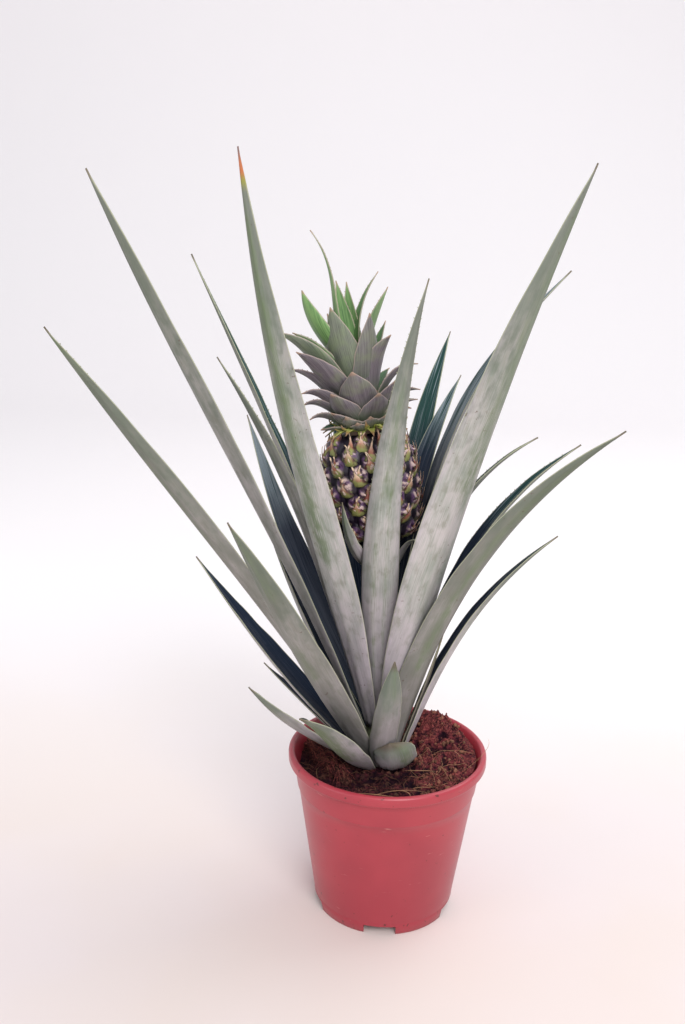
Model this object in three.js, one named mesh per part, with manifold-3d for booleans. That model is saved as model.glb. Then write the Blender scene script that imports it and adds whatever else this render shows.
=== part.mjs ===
// A potted pineapple plant: a young plant that carries its first fruit, in a 12 cm nursery pot.
// Millimetres, +Z up. Azimuth 0 is +X, the right of the plant; 90 is its back and 270 its front.
import * as THREE from 'three';
import { mergeVertices } from 'three/addons/utils/BufferGeometryUtils.js';
import Module from 'manifold-3d';

const wasm = await Module();
wasm.setup();

// Driving dimensions
const seatGap = 0.3; // left between two solids that touch on the real plant

const potSize = {
  height: 102,
  baseRadius: 42, // at the ground
  taper: 0.148, // growth of the wall's radius for each millimetre of height
  wall: 1.8,
  lipRadius: 60,
  lipHeight: 6.5,
  stepBelowRim: 22, // the faint ring that stops stacked pots
  stepDepth: 0.6,
  footHeight: 6.5, // from the ground to the underside of the floor
  footWidth: 3,
  sides: 48,
};
const notchSize = { count: 5, first: 268.5, width: 19, height: 5.8 }; // in the foot, one nearly in front
const drainSize = { radius: 3.5, fromAxis: 30, sides: 10 };

const plantAxis = { x: -5, y: 6 }; // where the stem leaves the soil, off the pot's own axis
const soilSize = { level: 90.5, holeRadius: 17.6, holeFloor: 70, rings: 7, sides: 40 };

// The stem is thick at the soil, and goes on as the fruit's stalk: height, radius, and how far it
// has wandered from the plant's axis.
const stemRows = [
  { z: 70.3, radius: 10.5, x: 0, y: 0 },
  { z: 88, radius: 12, x: 0, y: 0 },
  { z: 104, radius: 10.2, x: 0, y: 0 },
  { z: 122, radius: 8, x: 0, y: 0 },
  { z: 142, radius: 6.2, x: 0, y: 0 },
  { z: 170, radius: 5.4, x: -0.5, y: -0.5 },
  { z: 205, radius: 5.4, x: -2.2, y: -1.5 },
  { z: 232.6, radius: 6.4, x: -5, y: -2 },
];

const fruitSize = {
  base: [-10, 4, 233],
  lean: 7, // degrees, to the left
  height: 64,
  coreRadius: 25.4,
  eyes: 68,
  eyeRadius: 6.8,
  eyeHeight: 2.5,
  tipHeight: 4.6,
};
const crownSize = { base: [-17.6, 4, 297.4], lean: 12, height: 52, rootRadius: 12, topRadius: 2.5 };

// Blades are thickest along the midrib. Both are whole thicknesses.
const leafThickness = { midrib: 2, margin: 0.8 };
const crownThickness = { midrib: 1.3, margin: 0.7 };
const goldenAngle = 137.508;

// The large leaves. A tip is its azimuth, its reach from the plant's axis and its height; leans are
// from upright, at the root and at the tip. A root is its height on the stem and the share of the
// full width that it has there. Sway is how far the leaf swings round the axis on its way up, later
// if late is more than 1, and twist how far it turns about its own midrib; all angles in degrees.
// Widest is where along the leaf it has its full width, and taper how long it keeps it. Bend is how
// far the leans carry into the leaf from each end, and channel half the angle that its section curls.
const leafRows = [
  // left
  {
    name: 'leaf_01', tip: [210, 166, 434], leans: [23, 26], width: 25, root: [112, 0.5],
    sway: 20, twist: 12, taper: 3,
  },
  {
    name: 'leaf_02', tip: [208, 188, 361], leans: [32, 34], width: 25, root: [102, 0.6],
    twist: 24, taper: 2.8,
  },
  { name: 'leaf_03', tip: [234, 129, 271], leans: [38, 32], width: 29, root: [97, 0.5], taper: 2.6 },
  { name: 'leaf_04', tip: [170, 117, 211], leans: [50, 37], width: 25, root: [95, 0.6] },
  { name: 'leaf_05', tip: [162, 78, 141], leans: [48, 50], width: 13, root: [90, 0.8] },
  { name: 'leaf_06', tip: [198, 81, 147], leans: [66, 38], width: 20, root: [93, 0.4], twist: 45 },
  {
    name: 'leaf_07', tip: [236, 78, 148], leans: [62, 54], width: 30, root: [90, 0.42],
    sway: -3, taper: 3,
  },
  {
    name: 'leaf_08', tip: [228, 109, 445], leans: [18, 8], width: 29, root: [117, 0.36],
    sway: -4, taper: 1.9,
  },
  { name: 'leaf_09', tip: [172, 115, 391], leans: [17, 25], width: 22, root: [133, 0.45], twist: 12 },
  {
    name: 'leaf_10', tip: [201, 98, 341], leans: [18, 32], width: 19, root: [122, 0.45],
    sway: 5, twist: 34,
  },
  // front
  {
    name: 'leaf_11', tip: [286, 64, 386], leans: [15, 13], width: 23, root: [129, 0.45],
    sway: 24, late: 2, taper: 1.4,
  },
  {
    name: 'leaf_12', tip: [326, 114, 441], leans: [17, 20], width: 36, root: [116, 0.25],
    sway: 38, late: 0.5, taper: 2.6,
  },
  { name: 'leaf_13', tip: [281, 40, 173], leans: [36, -8], width: 17, root: [92, 0.4], sway: 9, taper: 3.6 },
  {
    name: 'leaf_14', tip: [281, 32, 118], leans: [74, -14], width: 28, root: [91, 0.2],
    twist: -22, sway: -23, taper: 7, widest: 0.5,
  },
  // right
  {
    name: 'leaf_15', tip: [335, 133, 312], leans: [14, 51], width: 29, root: [101, 0.45],
    bend: [0.24, 0.42], sway: 16, twist: -20, taper: 2.8,
  },
  {
    name: 'leaf_16', tip: [5, 110, 290], leans: [17, 54], width: 20, root: [108, 0.5],
    sway: -8, taper: 2.2,
  },
  {
    name: 'leaf_17', tip: [352, 83, 298], leans: [12, 58], width: 16, root: [113, 0.55],
    sway: 6, taper: 2.2,
  },
  {
    name: 'leaf_18', tip: [0, 99, 238], leans: [22, 50], width: 23, root: [93, 0.5],
    bend: [0.28, 0.42], twist: -8, taper: 2.1,
  },
  { name: 'leaf_19', tip: [354, 36, 177], leans: [22, 14], width: 9, root: [98, 0.6] },
  // back
  {
    name: 'leaf_20', tip: [70, 106, 342], leans: [6, 48], width: 16, root: [126, 0.45],
    bend: [0.45, 0.36], taper: 1.7, widest: 0.55, channel: 30,
  },
  {
    name: 'leaf_21', tip: [60, 86, 318], leans: [3, 50], width: 15, root: [138, 0.45],
    bend: [0.5, 0.33], widest: 0.55, channel: 30,
  },
  {
    name: 'leaf_22', tip: [5, 97, 387], leans: [4, 43], width: 21, root: [119, 0.4],
    bend: [0.5, 0.36], sway: -8, taper: 2.2, widest: 0.5, channel: 30,
  },
  {
    name: 'leaf_23', tip: [141, 117, 289], leans: [42, 20], width: 23, root: [117, 0.28],
    sway: 5, taper: 1.9,
  },
  { name: 'leaf_24', tip: [181, 71, 245], leans: [27, 17], width: 21, root: [105, 0.3], sway: 11 },
  { name: 'leaf_25', tip: [118, 80, 322], leans: [32, 2], width: 20, root: [107, 0.4], sway: 15 },
  { name: 'leaf_26', tip: [82, 98, 262], leans: [28, 36], width: 20, root: [94, 0.5] },
  { name: 'leaf_27', tip: [112, 112, 215], leans: [40, 40], width: 19, root: [91, 0.6] },
  { name: 'leaf_28', tip: [60, 72, 286], leans: [18, 24], width: 19, root: [103, 0.42] },
];

// Leaves with saw-toothed margins: where along the leaf the teeth start and end, and how many.
const toothedLeaves = {
  leaf_09: [0.72, 0.93, 5],
  leaf_10: [0.7, 0.92, 5],
  leaf_11: [0.66, 0.89, 6],
  leaf_16: [0.68, 0.92, 5],
  leaf_17: [0.66, 0.91, 5],
};
const toothDepth = 0.9;

// Small leaves on the fruit's stalk, written as the large ones are.
const bractRows = [
  {
    name: 'bract_01', tip: [236, 37, 263], leans: [62, 2], width: 12, root: [216, 0.8],
    sway: -6,
  },
  { name: 'bract_02', tip: [314, 34, 238], leans: [40, 125], width: 7, root: [211, 0.9] },
  { name: 'bract_03', tip: [100, 34, 244], leans: [60, 20], width: 11, root: [212, 0.8] },
];

// The crown's leaves, about the crown's own axis and from its base, written the same way.
const crownRows = [
  // heart
  { tip: [190, 10, 113], leans: [14, 28], width: 12, root: [38, 1], taper: 0.9 },
  { tip: [198, 21, 83], leans: [22, -4], width: 25, root: [32, 0.9], twist: 18, taper: 2.4 },
  { tip: [110, 5, 84], leans: [8, 2], width: 12, root: [40, 1] },
  { tip: [70, 10, 82], leans: [10, 6], width: 12, root: [38, 1] },
  { tip: [354, 26, 76], leans: [8, 34], width: 14, root: [28, 1], twist: -35 },
  { tip: [30, 25, 84], leans: [-4, 50], width: 10, root: [36, 1], taper: 1 },
  // middle
  { tip: [200, 31, 62], leans: [35, 52], width: 16, root: [26, 1], twist: 30 },
  { tip: [208, 42, 65], leans: [36, 60], width: 21, root: [19, 1], twist: 30 },
  { tip: [222, 37, 53], leans: [38, 50], width: 22, root: [15, 1], twist: 25 },
  { tip: [198, 37, 43], leans: [44, 70], width: 14, root: [12, 1], twist: 35 },
  { tip: [248, 16, 72], leans: [18, 2], width: 24, root: [20, 1], taper: 2 },
  { tip: [318, 19, 65], leans: [16, 8], width: 22, root: [18, 1], taper: 2 },
  { tip: [338, 25, 51], leans: [10, 50], width: 23, root: [12, 1], twist: -25, taper: 1.9 },
  { tip: [355, 35, 32], leans: [40, 100], width: 12, root: [13, 1], twist: -30 },
  // foot
  { tip: [269, 23, 37], leans: [26, 6], width: 24, root: [5, 1], taper: 2.6 },
  { tip: [299, 24, 23], leans: [30, 16], width: 20, root: [2, 1], taper: 2.2 },
  { tip: [330, 25, 27], leans: [26, 34], width: 20, root: [4, 1], taper: 2.2 },
  { tip: [236, 25, 27], leans: [36, 26], width: 22, root: [3, 1], taper: 2.2 },
  { tip: [224, 23, 16], leans: [44, 40], width: 17, root: [1, 1], taper: 1.9 },
  { tip: [206, 34, 29], leans: [44, 90], width: 17, root: [8, 1], twist: 35 },
  { tip: [192, 33, 21], leans: [50, 106], width: 15, root: [5, 1], twist: 35 },
  { tip: [198, 31, 13], leans: [58, 112], width: 13, root: [3, 1], twist: 35 },
  { tip: [352, 34, 18], leans: [54, 108], width: 12, root: [7, 1], twist: -35 },
  { tip: [345, 28, 9], leans: [58, 108], width: 12, root: [3, 1], twist: -35 },
  { tip: [0, 24, 3], leans: [76, 104], width: 10, root: [1.5, 1], twist: -30 },
  { tip: [246, 21, 13], leans: [44, 8], width: 15, root: [1, 1], taper: 1.7 },
  { tip: [262, 21, 9], leans: [52, 8], width: 14, root: [1, 1], taper: 1.7 },
  { tip: [283, 21, 11], leans: [46, 8], width: 15, root: [1, 1], taper: 1.7 },
  { tip: [310, 21, 10], leans: [50, 10], width: 16, root: [1, 1], taper: 1.7 },
  { tip: [198, 26, 6], leans: [62, 80], width: 15, root: [1, 1], taper: 2.2 },
];
const crownBack = { count: 7, from: 20, span: 140 }; // leaves out of the photo's sight, by a rule

const leafShape = { across: 5, spacing: 30, fewest: 6, most: 12, channel: 43, tipWidth: 1.2 };
const crownShape = { across: 3, spacing: 21, fewest: 4, most: 7 };

const colours = {
  pot: '#b4483f',
  soil: '#3b211b',
  stem: '#8d9270',
  leaf: '#98a08c',
  fruit: '#6d4a45',
  crown: '#768471',
  bract: '#7f8d63',
};

const radians = THREE.MathUtils.degToRad;

function material(colour, roughness) {
  return new THREE.MeshStandardMaterial({ color: colour, roughness, metalness: 0 });
}

// A closed geometry as a solid that can be cut and joined.
function toSolid(geometry) {
  const bare = geometry.clone();
  bare.deleteAttribute('normal');
  bare.deleteAttribute('uv');
  const merged = mergeVertices(bare, 1e-3);
  return new wasm.Manifold(new wasm.Mesh({
    numProp: 3,
    vertProperties: new Float32Array(merged.attributes.position.array),
    triVerts: new Uint32Array(merged.index.array),
  }));
}

// A solid as a geometry, with any hollow that joining has sealed inside it filled.
function toGeometry(solid) {
  const body = solid.decompose().find((shell) => shell.volume() > 0);
  const mesh = body.getMesh();
  const geometry = new THREE.BufferGeometry();
  geometry.setAttribute('position', new THREE.BufferAttribute(mesh.vertProperties, 3));
  geometry.setIndex(new THREE.BufferAttribute(mesh.triVerts, 1));
  geometry.computeVertexNormals();
  return geometry;
}

// Points and triangles as a geometry.
function geometryOf(points, triangles) {
  const geometry = new THREE.BufferGeometry();
  geometry.setAttribute('position', new THREE.Float32BufferAttribute(points.flatMap((p) => p.toArray()), 3));
  geometry.setIndex(triangles.flat());
  geometry.computeVertexNormals();
  return geometry;
}

function turned(profile, sides) {
  const geometry = new THREE.LatheGeometry(profile.map(([r, z]) => new THREE.Vector2(r, z)), sides);
  return geometry.rotateX(Math.PI / 2);
}

function wallRadius(z) {
  const step = z > potSize.height - potSize.stepBelowRim ? potSize.stepDepth : 0;
  return potSize.baseRadius + potSize.taper * z + step;
}

function innerRadius(z) {
  return potSize.baseRadius + potSize.taper * z - potSize.wall;
}

function potGeometry() {
  const { height, footHeight, footWidth, baseRadius, lipRadius, lipHeight, wall } = potSize;
  const stepZ = height - potSize.stepBelowRim;
  const lipZ = height - lipHeight;
  const profile = [
    [0, footHeight],
    [baseRadius - footWidth, footHeight],
    [baseRadius - footWidth, 0],
    [baseRadius, 0],
    [wallRadius(footHeight) + 0.2, footHeight],
    [wallRadius(footHeight + 1) - 0.2, footHeight + 1],
    [wallRadius(stepZ - 1), stepZ - 1],
    [wallRadius(stepZ) + potSize.stepDepth, stepZ],
    [wallRadius(lipZ), lipZ],
    [lipRadius - 0.9, lipZ + 0.2],
    [lipRadius, lipZ + 1.8],
    [lipRadius, height - 2],
    [lipRadius - 1.2, height - 0.4],
    [lipRadius - 2.6, height],
    [lipRadius - 3.8, height - 0.8],
    [innerRadius(lipZ), lipZ],
    [innerRadius(footHeight + wall), footHeight + wall],
    [0, footHeight + wall],
  ];
  let solid = toSolid(turned(profile, potSize.sides));
  for (let i = 0; i < notchSize.count; i++) {
    const angle = radians(notchSize.first + (i * 360) / notchSize.count);
    const notch = new THREE.BoxGeometry(16, notchSize.width, 2 * notchSize.height);
    notch.translate(baseRadius, 0, 0).rotateZ(angle);
    const { radius, sides } = drainSize;
    const drain = new THREE.CylinderGeometry(radius, radius, 4 * wall, sides);
    drain.rotateX(Math.PI / 2).translate(drainSize.fromAxis, 0, footHeight).rotateZ(angle);
    solid = solid.subtract(toSolid(notch)).subtract(toSolid(drain));
  }
  return toGeometry(solid);
}

// Height of the soil: low at the left and front, rising to the right, heaped above the rim at the
// right and back, and crumbled all over.
function soilHeight(x, y) {
  const rise = 7 * THREE.MathUtils.smoothstep(x, 0, 46);
  const heap = 14 * Math.exp(-((x - 27) ** 2 + (y - 33) ** 2) / 760);
  const crumbs = 0.9 * Math.sin(0.61 * x + 1.3 * Math.sin(0.37 * y)) * Math.cos(0.53 * y + 0.8);
  return soilSize.level + rise + heap + crumbs;
}

// Rings run from the floor of the stem's hole, up its wall, over the surface and down to the pot's
// floor. Their centres move from the plant's axis to the pot's.
function soilGeometry() {
  const { holeRadius, holeFloor, rings, sides } = soilSize;
  const floorZ = potSize.footHeight + potSize.wall + seatGap;
  const edge = (z) => innerRadius(z) - seatGap;
  const rows = [];
  rows.push((angle) => [
    plantAxis.x + holeRadius * Math.cos(angle),
    plantAxis.y + holeRadius * Math.sin(angle),
    holeFloor,
  ]);
  for (let i = 0; i <= rings; i++) {
    const t = i / rings;
    rows.push((angle) => {
      const rimZ = Math.min(soilHeight(54 * Math.cos(angle), 54 * Math.sin(angle)), potSize.height - 3);
      const radius = THREE.MathUtils.lerp(holeRadius, edge(rimZ), t);
      const x = plantAxis.x * (1 - t) + radius * Math.cos(angle);
      const y = plantAxis.y * (1 - t) + radius * Math.sin(angle);
      return [x, y, t === 1 ? rimZ : soilHeight(x, y)];
    });
  }
  rows.push((angle) => [edge(floorZ) * Math.cos(angle), edge(floorZ) * Math.sin(angle), floorZ]);

  const points = [new THREE.Vector3(plantAxis.x, plantAxis.y, holeFloor)];
  for (const row of rows) {
    for (let k = 0; k < sides; k++) points.push(new THREE.Vector3(...row((2 * Math.PI * k) / sides)));
  }
  points.push(new THREE.Vector3(0, 0, floorZ));
  const last = points.length - 1;
  const at = (i, k) => 1 + i * sides + (k % sides);
  const triangles = [];
  for (let k = 0; k < sides; k++) {
    triangles.push([0, at(0, k), at(0, k + 1)]);
    for (let i = 0; i < rows.length - 1; i++) {
      triangles.push([at(i, k), at(i + 1, k), at(i + 1, k + 1)], [at(i, k), at(i + 1, k + 1), at(i, k + 1)]);
    }
    triangles.push([last, at(rows.length - 1, k + 1), at(rows.length - 1, k)]);
  }
  return geometryOf(points, triangles);
}

// Radius of the stem at a height, for the leaves that grow from it.
function stemRadius(z) {
  const upper = stemRows.findIndex((row) => row.z > z);
  const [a, b] = [stemRows[upper - 1], stemRows[upper]];
  return THREE.MathUtils.mapLinear(z, a.z, b.z, a.radius, b.radius);
}

function stemGeometry() {
  const sides = 14;
  const points = [];
  const centre = (row) => new THREE.Vector3(plantAxis.x + row.x, plantAxis.y + row.y, row.z);
  const lean = new THREE.Vector3(0, 1, 0);
  stemRows.forEach((row, i) => {
    const tilt = i === stemRows.length - 1 ? -radians(fruitSize.lean) : 0;
    for (let k = 0; k < sides; k++) {
      const angle = (2 * Math.PI * k) / sides;
      const spoke = new THREE.Vector3(row.radius * Math.cos(angle), row.radius * Math.sin(angle), 0);
      points.push(centre(row).add(spoke.applyAxisAngle(lean, tilt)));
    }
  });
  points.push(centre(stemRows[0]), centre(stemRows[stemRows.length - 1]));
  const [bottom, top] = [points.length - 2, points.length - 1];
  const at = (i, k) => i * sides + (k % sides);
  const triangles = [];
  for (let k = 0; k < sides; k++) {
    triangles.push([bottom, at(0, k + 1), at(0, k)]);
    for (let i = 0; i < stemRows.length - 1; i++) {
      triangles.push([at(i, k), at(i, k + 1), at(i + 1, k + 1)], [at(i, k), at(i + 1, k + 1), at(i + 1, k)]);
    }
    triangles.push([top, at(stemRows.length - 1, k), at(stemRows.length - 1, k + 1)]);
  }
  return geometryOf(points, triangles);
}

// A row as a blade: its root on something of a given radius, and its thickness.
function bladeOf(row, rootRadius, thickness, shape) {
  const [azimuth, reach, height] = row.tip;
  const [rootZ, rootShare] = row.root;
  const length = Math.hypot(reach - rootRadius, height - rootZ);
  return {
    azimuth, reach, height, rootZ, rootShare, rootRadius, thickness,
    leans: row.leans.map(radians),
    width: row.width,
    sway: row.sway ?? 0,
    late: row.late ?? 1,
    taper: row.taper ?? 1.5,
    widest: row.widest ?? 0.35,
    bend: row.bend ?? [0.38, 0.38],
    channel: radians(row.channel ?? leafShape.channel),
    twist: radians(row.twist ?? 0),
    teeth: row.teeth,
    rootHug: (row.width * rootShare) / (2 * rootRadius),
    across: shape.across,
    stations: THREE.MathUtils.clamp(Math.round(length / shape.spacing) + 3, shape.fewest, shape.most),
  };
}

function bladeAngle(blade, s) {
  return radians(blade.azimuth + blade.sway * (s ** blade.late - 1));
}

// A blade's midrib at s, from 0 at the root to 1 at the tip: a curve that meets both ends at their
// leans, in an upright plane through the axis that swings round by the sway.
function midribPoint(blade, s) {
  const { rootRadius, rootZ, reach, height, leans, bend } = blade;
  const chord = Math.hypot(reach - rootRadius, height - rootZ);
  const [low, high] = leans.map((lean) => new THREE.Vector2(Math.sin(lean), Math.cos(lean)));
  const root = new THREE.Vector2(rootRadius, rootZ);
  const tip = new THREE.Vector2(reach, height);
  const afterRoot = root.clone().addScaledVector(low, bend[0] * chord);
  const beforeTip = tip.clone().addScaledVector(high, -bend[1] * chord);
  const curve = new THREE.CubicBezierCurve(root, afterRoot, beforeTip, tip);
  const point = curve.getPoint(s);
  const angle = bladeAngle(blade, s);
  return new THREE.Vector3(point.x * Math.cos(angle), point.x * Math.sin(angle), point.y);
}

// Width along a blade: it swells to its widest place, a third of the way up unless the row says
// otherwise, and then tapers.
function bladeWidth(blade, s) {
  const { rootShare, widest, taper, width } = blade;
  const swell = THREE.MathUtils.lerp(rootShare, 1, Math.sin((Math.min(s / widest, 1) * Math.PI) / 2));
  const narrowing = 1 - Math.max((s - widest) / (1 - widest), 0) ** taper;
  return Math.max(width * swell * narrowing, leafShape.tipWidth);
}

// Places along a blade where its section is drawn, with how far the margin stands out there.
function bladeStations(blade) {
  const plain = [];
  for (let i = 0; i < blade.stations; i++) plain.push({ s: i / (blade.stations - 1), tooth: 0 });
  if (!blade.teeth) return plain;
  const [from, to, count] = blade.teeth;
  const step = (to - from) / count;
  const stations = plain.filter(({ s }) => s < from - 0.02 || s > to + 0.02);
  for (let i = 0; i < count; i++) {
    stations.push({ s: from + i * step, tooth: 0 }, { s: from + (i + 0.72) * step, tooth: toothDepth });
  }
  stations.push({ s: to, tooth: 0 });
  return stations.sort((a, b) => a.s - b.s);
}

// One section of a blade: an arc bent into a channel, its inner face first, from one margin to the
// other, then its outer face back.
function bladeSection(blade, { s, tooth }) {
  const centre = midribPoint(blade, s);
  const ahead = midribPoint(blade, Math.min(s + 0.01, 1));
  const along = ahead.sub(midribPoint(blade, Math.max(s - 0.01, 0))).normalize();
  const angle = bladeAngle(blade, s);
  const flat = new THREE.Vector3(-Math.sin(angle), Math.cos(angle), 0);
  flat.addScaledVector(along, -flat.dot(along)).normalize();
  const face = new THREE.Vector3().crossVectors(along, flat);
  const side = flat.clone().applyAxisAngle(along, blade.twist * s);
  const inward = face.applyAxisAngle(along, blade.twist * s);

  const half = THREE.MathUtils.lerp(blade.rootHug, blade.channel, Math.min(s / 0.3, 1) ** 0.8);
  const bend = bladeWidth(blade, s) / (2 * half);
  const { midrib, margin } = blade.thickness;
  const inner = [];
  const outer = [];
  for (let j = 0; j < blade.across; j++) {
    const u = -1 + (2 * j) / (blade.across - 1);
    const [sine, cosine] = [Math.sin(half * u), Math.cos(half * u)];
    const point = centre.clone().addScaledVector(side, bend * sine);
    point.addScaledVector(inward, bend * (1 - cosine));
    if (Math.abs(u) === 1) {
      point.addScaledVector(side, u * tooth * cosine).addScaledVector(inward, u * tooth * sine);
    }
    const thick = margin + (midrib - margin) * (1 - u * u) * (1 - 0.6 * s * s);
    const normal = inward.clone().multiplyScalar(cosine).addScaledVector(side, -sine);
    inner.push(point.clone().addScaledVector(normal, thick / 2));
    outer.unshift(point.clone().addScaledVector(normal, -thick / 2));
  }
  return [...inner, ...outer];
}

// Sections joined into one closed blade. Both faces are split along the same diagonals.
function bladeGeometry(blade) {
  const sections = bladeStations(blade).map((station) => bladeSection(blade, station));
  const m = blade.across;
  const ring = 2 * m;
  const at = (i, k) => i * ring + (k % ring);
  const triangles = [];
  for (let i = 0; i < sections.length - 1; i++) {
    for (let k = 0; k < ring; k++) {
      const [a, b, c, d] = [at(i, k), at(i + 1, k), at(i, k + 1), at(i + 1, k + 1)];
      if (k < m) triangles.push([a, b, c], [c, b, d]);
      else triangles.push([a, b, d], [a, d, c]);
    }
  }
  const last = sections.length - 1;
  for (let j = 0; j < m - 1; j++) {
    const back = ring - 1 - j;
    triangles.push([at(0, j), at(0, j + 1), at(0, back)], [at(0, j + 1), at(0, back - 1), at(0, back)]);
    triangles.push([at(last, j), at(last, back), at(last, j + 1)]);
    triangles.push([at(last, j + 1), at(last, back), at(last, back - 1)]);
  }
  return geometryOf(sections.flat(), triangles);
}

// How far the stem's middle has wandered from the plant's axis at a height.
function stemMiddle(z) {
  const above = Math.max(stemRows.findIndex((r) => r.z >= z), 1);
  const [low, high] = [stemRows[above - 1], stemRows[above]];
  const t = THREE.MathUtils.inverseLerp(low.z, high.z, z);
  return [THREE.MathUtils.lerp(low.x, high.x, t), THREE.MathUtils.lerp(low.y, high.y, t)];
}

// A leaf or bract of the plant: its root hugs the stem, and its blade opens on the way up.
function leafGeometry(row) {
  const rootRadius = stemRadius(row.root[0]) + seatGap + leafThickness.midrib / 2;
  const blade = bladeOf({ ...row, teeth: toothedLeaves[row.name] }, rootRadius, leafThickness, leafShape);
  const [x, y] = stemMiddle(row.root[0]);
  return bladeGeometry(blade).translate(plantAxis.x + x, plantAxis.y + y, 0);
}

// Radius of the fruit's barrel, without its eyes, at a height above its base.
function barrelRadius(z) {
  const half = fruitSize.height / 2;
  const t = Math.abs(z - half) / (half + 4);
  return fruitSize.coreRadius * (1 - t ** 2.6) ** (1 / 2.6);
}

// One eye of the fruit: a low six-sided boss, sunk into the barrel, drawn out to a point that leans
// towards the crown.
function eyeGeometry(angle, z, radius) {
  const rise = barrelRadius(z + 0.5) - barrelRadius(z - 0.5);
  const out = new THREE.Vector3(Math.cos(angle), Math.sin(angle), -rise).normalize();
  const across = new THREE.Vector3(-Math.sin(angle), Math.cos(angle), 0);
  const up = new THREE.Vector3().crossVectors(out, across);
  const centre = new THREE.Vector3(barrelRadius(z) * Math.cos(angle), barrelRadius(z) * Math.sin(angle), z);
  const place = (x, y, h) =>
    centre.clone().addScaledVector(across, x).addScaledVector(up, y).addScaledVector(out, h);
  const corner = (k, r, h) => place(r * Math.sin((Math.PI * k) / 3), r * Math.cos((Math.PI * k) / 3), h);
  const points = [];
  for (let k = 0; k < 6; k++) points.push(corner(k, radius, -1.6));
  for (let k = 0; k < 6; k++) points.push(corner(k, radius * 0.72, fruitSize.eyeHeight));
  points.push(place(0, radius * 0.3, fruitSize.tipHeight));
  const triangles = [[0, 1, 2], [0, 2, 3], [0, 3, 4], [0, 4, 5]];
  for (let k = 0; k < 6; k++) {
    const next = (k + 1) % 6;
    triangles.push([k, k + 6, next], [next, k + 6, next + 6], [k + 6, 12, next + 6]);
  }
  return geometryOf(points, triangles);
}

function leanLeft(geometry, { base, lean }) {
  return geometry.rotateY(-radians(lean)).translate(...base);
}

// The fruit: eyes on a golden-angle spiral round a barrel that they cover.
function fruitGeometry() {
  const { height, eyes, eyeRadius, coreRadius } = fruitSize;
  const profile = [[0, 0], [8, 0]];
  for (const z of [3, 12, 22, 32, 42, 52, 61]) profile.push([barrelRadius(z), z]);
  profile.push([8, height], [0, height]);
  let solid = toSolid(turned(profile, 12));
  for (let k = 0; k < eyes; k++) {
    const z = 4.5 + ((height - 9) * (k + 0.5)) / eyes;
    const radius = eyeRadius * (0.55 + (0.45 * barrelRadius(z)) / coreRadius);
    solid = solid.add(toSolid(eyeGeometry(radians(k * goldenAngle), z, radius)));
  }
  return leanLeft(toGeometry(solid), fruitSize);
}

// The crown: short blades fused to a slim core, those that the photo shows first, then the back.
function crownGeometry() {
  const { height, rootRadius, topRadius } = crownSize;
  const rows = [...crownRows];
  for (let k = 0; k < crownBack.count; k++) {
    const t = k / (crownBack.count - 1);
    const azimuth = crownBack.from + ((k * 0.618) % 1) * crownBack.span;
    rows.push({
      tip: [azimuth, 33 - 10 * t, 10 + 56 * t],
      leans: [62 - 34 * t, 100 - 84 * t],
      width: 14,
      root: [3 + 28 * t, 1],
    });
  }
  const profile = [
    [0, 0],
    [rootRadius, 0],
    [rootRadius, 12],
    [rootRadius * 0.7, 32],
    [topRadius, height],
    [0, height],
  ];
  let solid = toSolid(turned(profile, 10));
  for (const row of rows) {
    const core = THREE.MathUtils.mapLinear(row.root[0], 0, height, rootRadius, topRadius);
    solid = solid.add(toSolid(bladeGeometry(bladeOf(row, core * 0.8, crownThickness, crownShape))));
  }
  return leanLeft(toGeometry(solid), crownSize);
}

const plant = new THREE.Group();

function add(name, geometry, colour, roughness) {
  const mesh = new THREE.Mesh(geometry, material(colour, roughness));
  mesh.name = name;
  plant.add(mesh);
}

add('pot', potGeometry(), colours.pot, 0.4);
add('soil', soilGeometry(), colours.soil, 0.95);
add('stem', stemGeometry(), colours.stem, 0.7);
for (const row of leafRows) add(row.name, leafGeometry(row), colours.leaf, 0.6);
for (const row of bractRows) add(row.name, leafGeometry(row), colours.bract, 0.6);
add('fruit', fruitGeometry(), colours.fruit, 0.7);
add('crown', crownGeometry(), colours.crown, 0.6);

// The origin is on the ground, under the middle of the plant's whole spread.
const middle = new THREE.Box3().setFromObject(plant).getCenter(new THREE.Vector3());
plant.position.set(-middle.x, -middle.y, 0);

export default plant;
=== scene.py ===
import bpy
import numpy as np
from mathutils import Matrix, Vector


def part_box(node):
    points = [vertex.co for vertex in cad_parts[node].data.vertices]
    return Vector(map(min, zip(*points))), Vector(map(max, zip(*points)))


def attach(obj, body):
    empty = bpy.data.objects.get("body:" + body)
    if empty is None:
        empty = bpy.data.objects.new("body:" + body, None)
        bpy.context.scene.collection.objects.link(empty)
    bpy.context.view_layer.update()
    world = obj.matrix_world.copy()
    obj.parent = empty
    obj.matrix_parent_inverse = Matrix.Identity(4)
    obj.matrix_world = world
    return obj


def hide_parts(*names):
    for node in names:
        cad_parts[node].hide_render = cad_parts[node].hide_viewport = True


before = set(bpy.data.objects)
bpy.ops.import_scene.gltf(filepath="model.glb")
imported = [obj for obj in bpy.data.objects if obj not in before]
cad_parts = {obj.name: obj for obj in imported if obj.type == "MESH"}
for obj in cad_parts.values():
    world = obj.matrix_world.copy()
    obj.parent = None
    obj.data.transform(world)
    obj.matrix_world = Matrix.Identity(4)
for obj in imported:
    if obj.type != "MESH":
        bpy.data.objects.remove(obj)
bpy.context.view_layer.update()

# A potted pineapple plant. Sizes are in millimetres from the pot's own axis, and become metres in
# the frame when a piece is made. Azimuth 0 is +X, the plant's right, and 270 its front.
millimetre = 0.001
potLow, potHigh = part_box("pot")
potAxis = np.array([(potLow[0] + potHigh[0]) / 2, (potLow[1] + potHigh[1]) / 2, 0.0])
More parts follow.
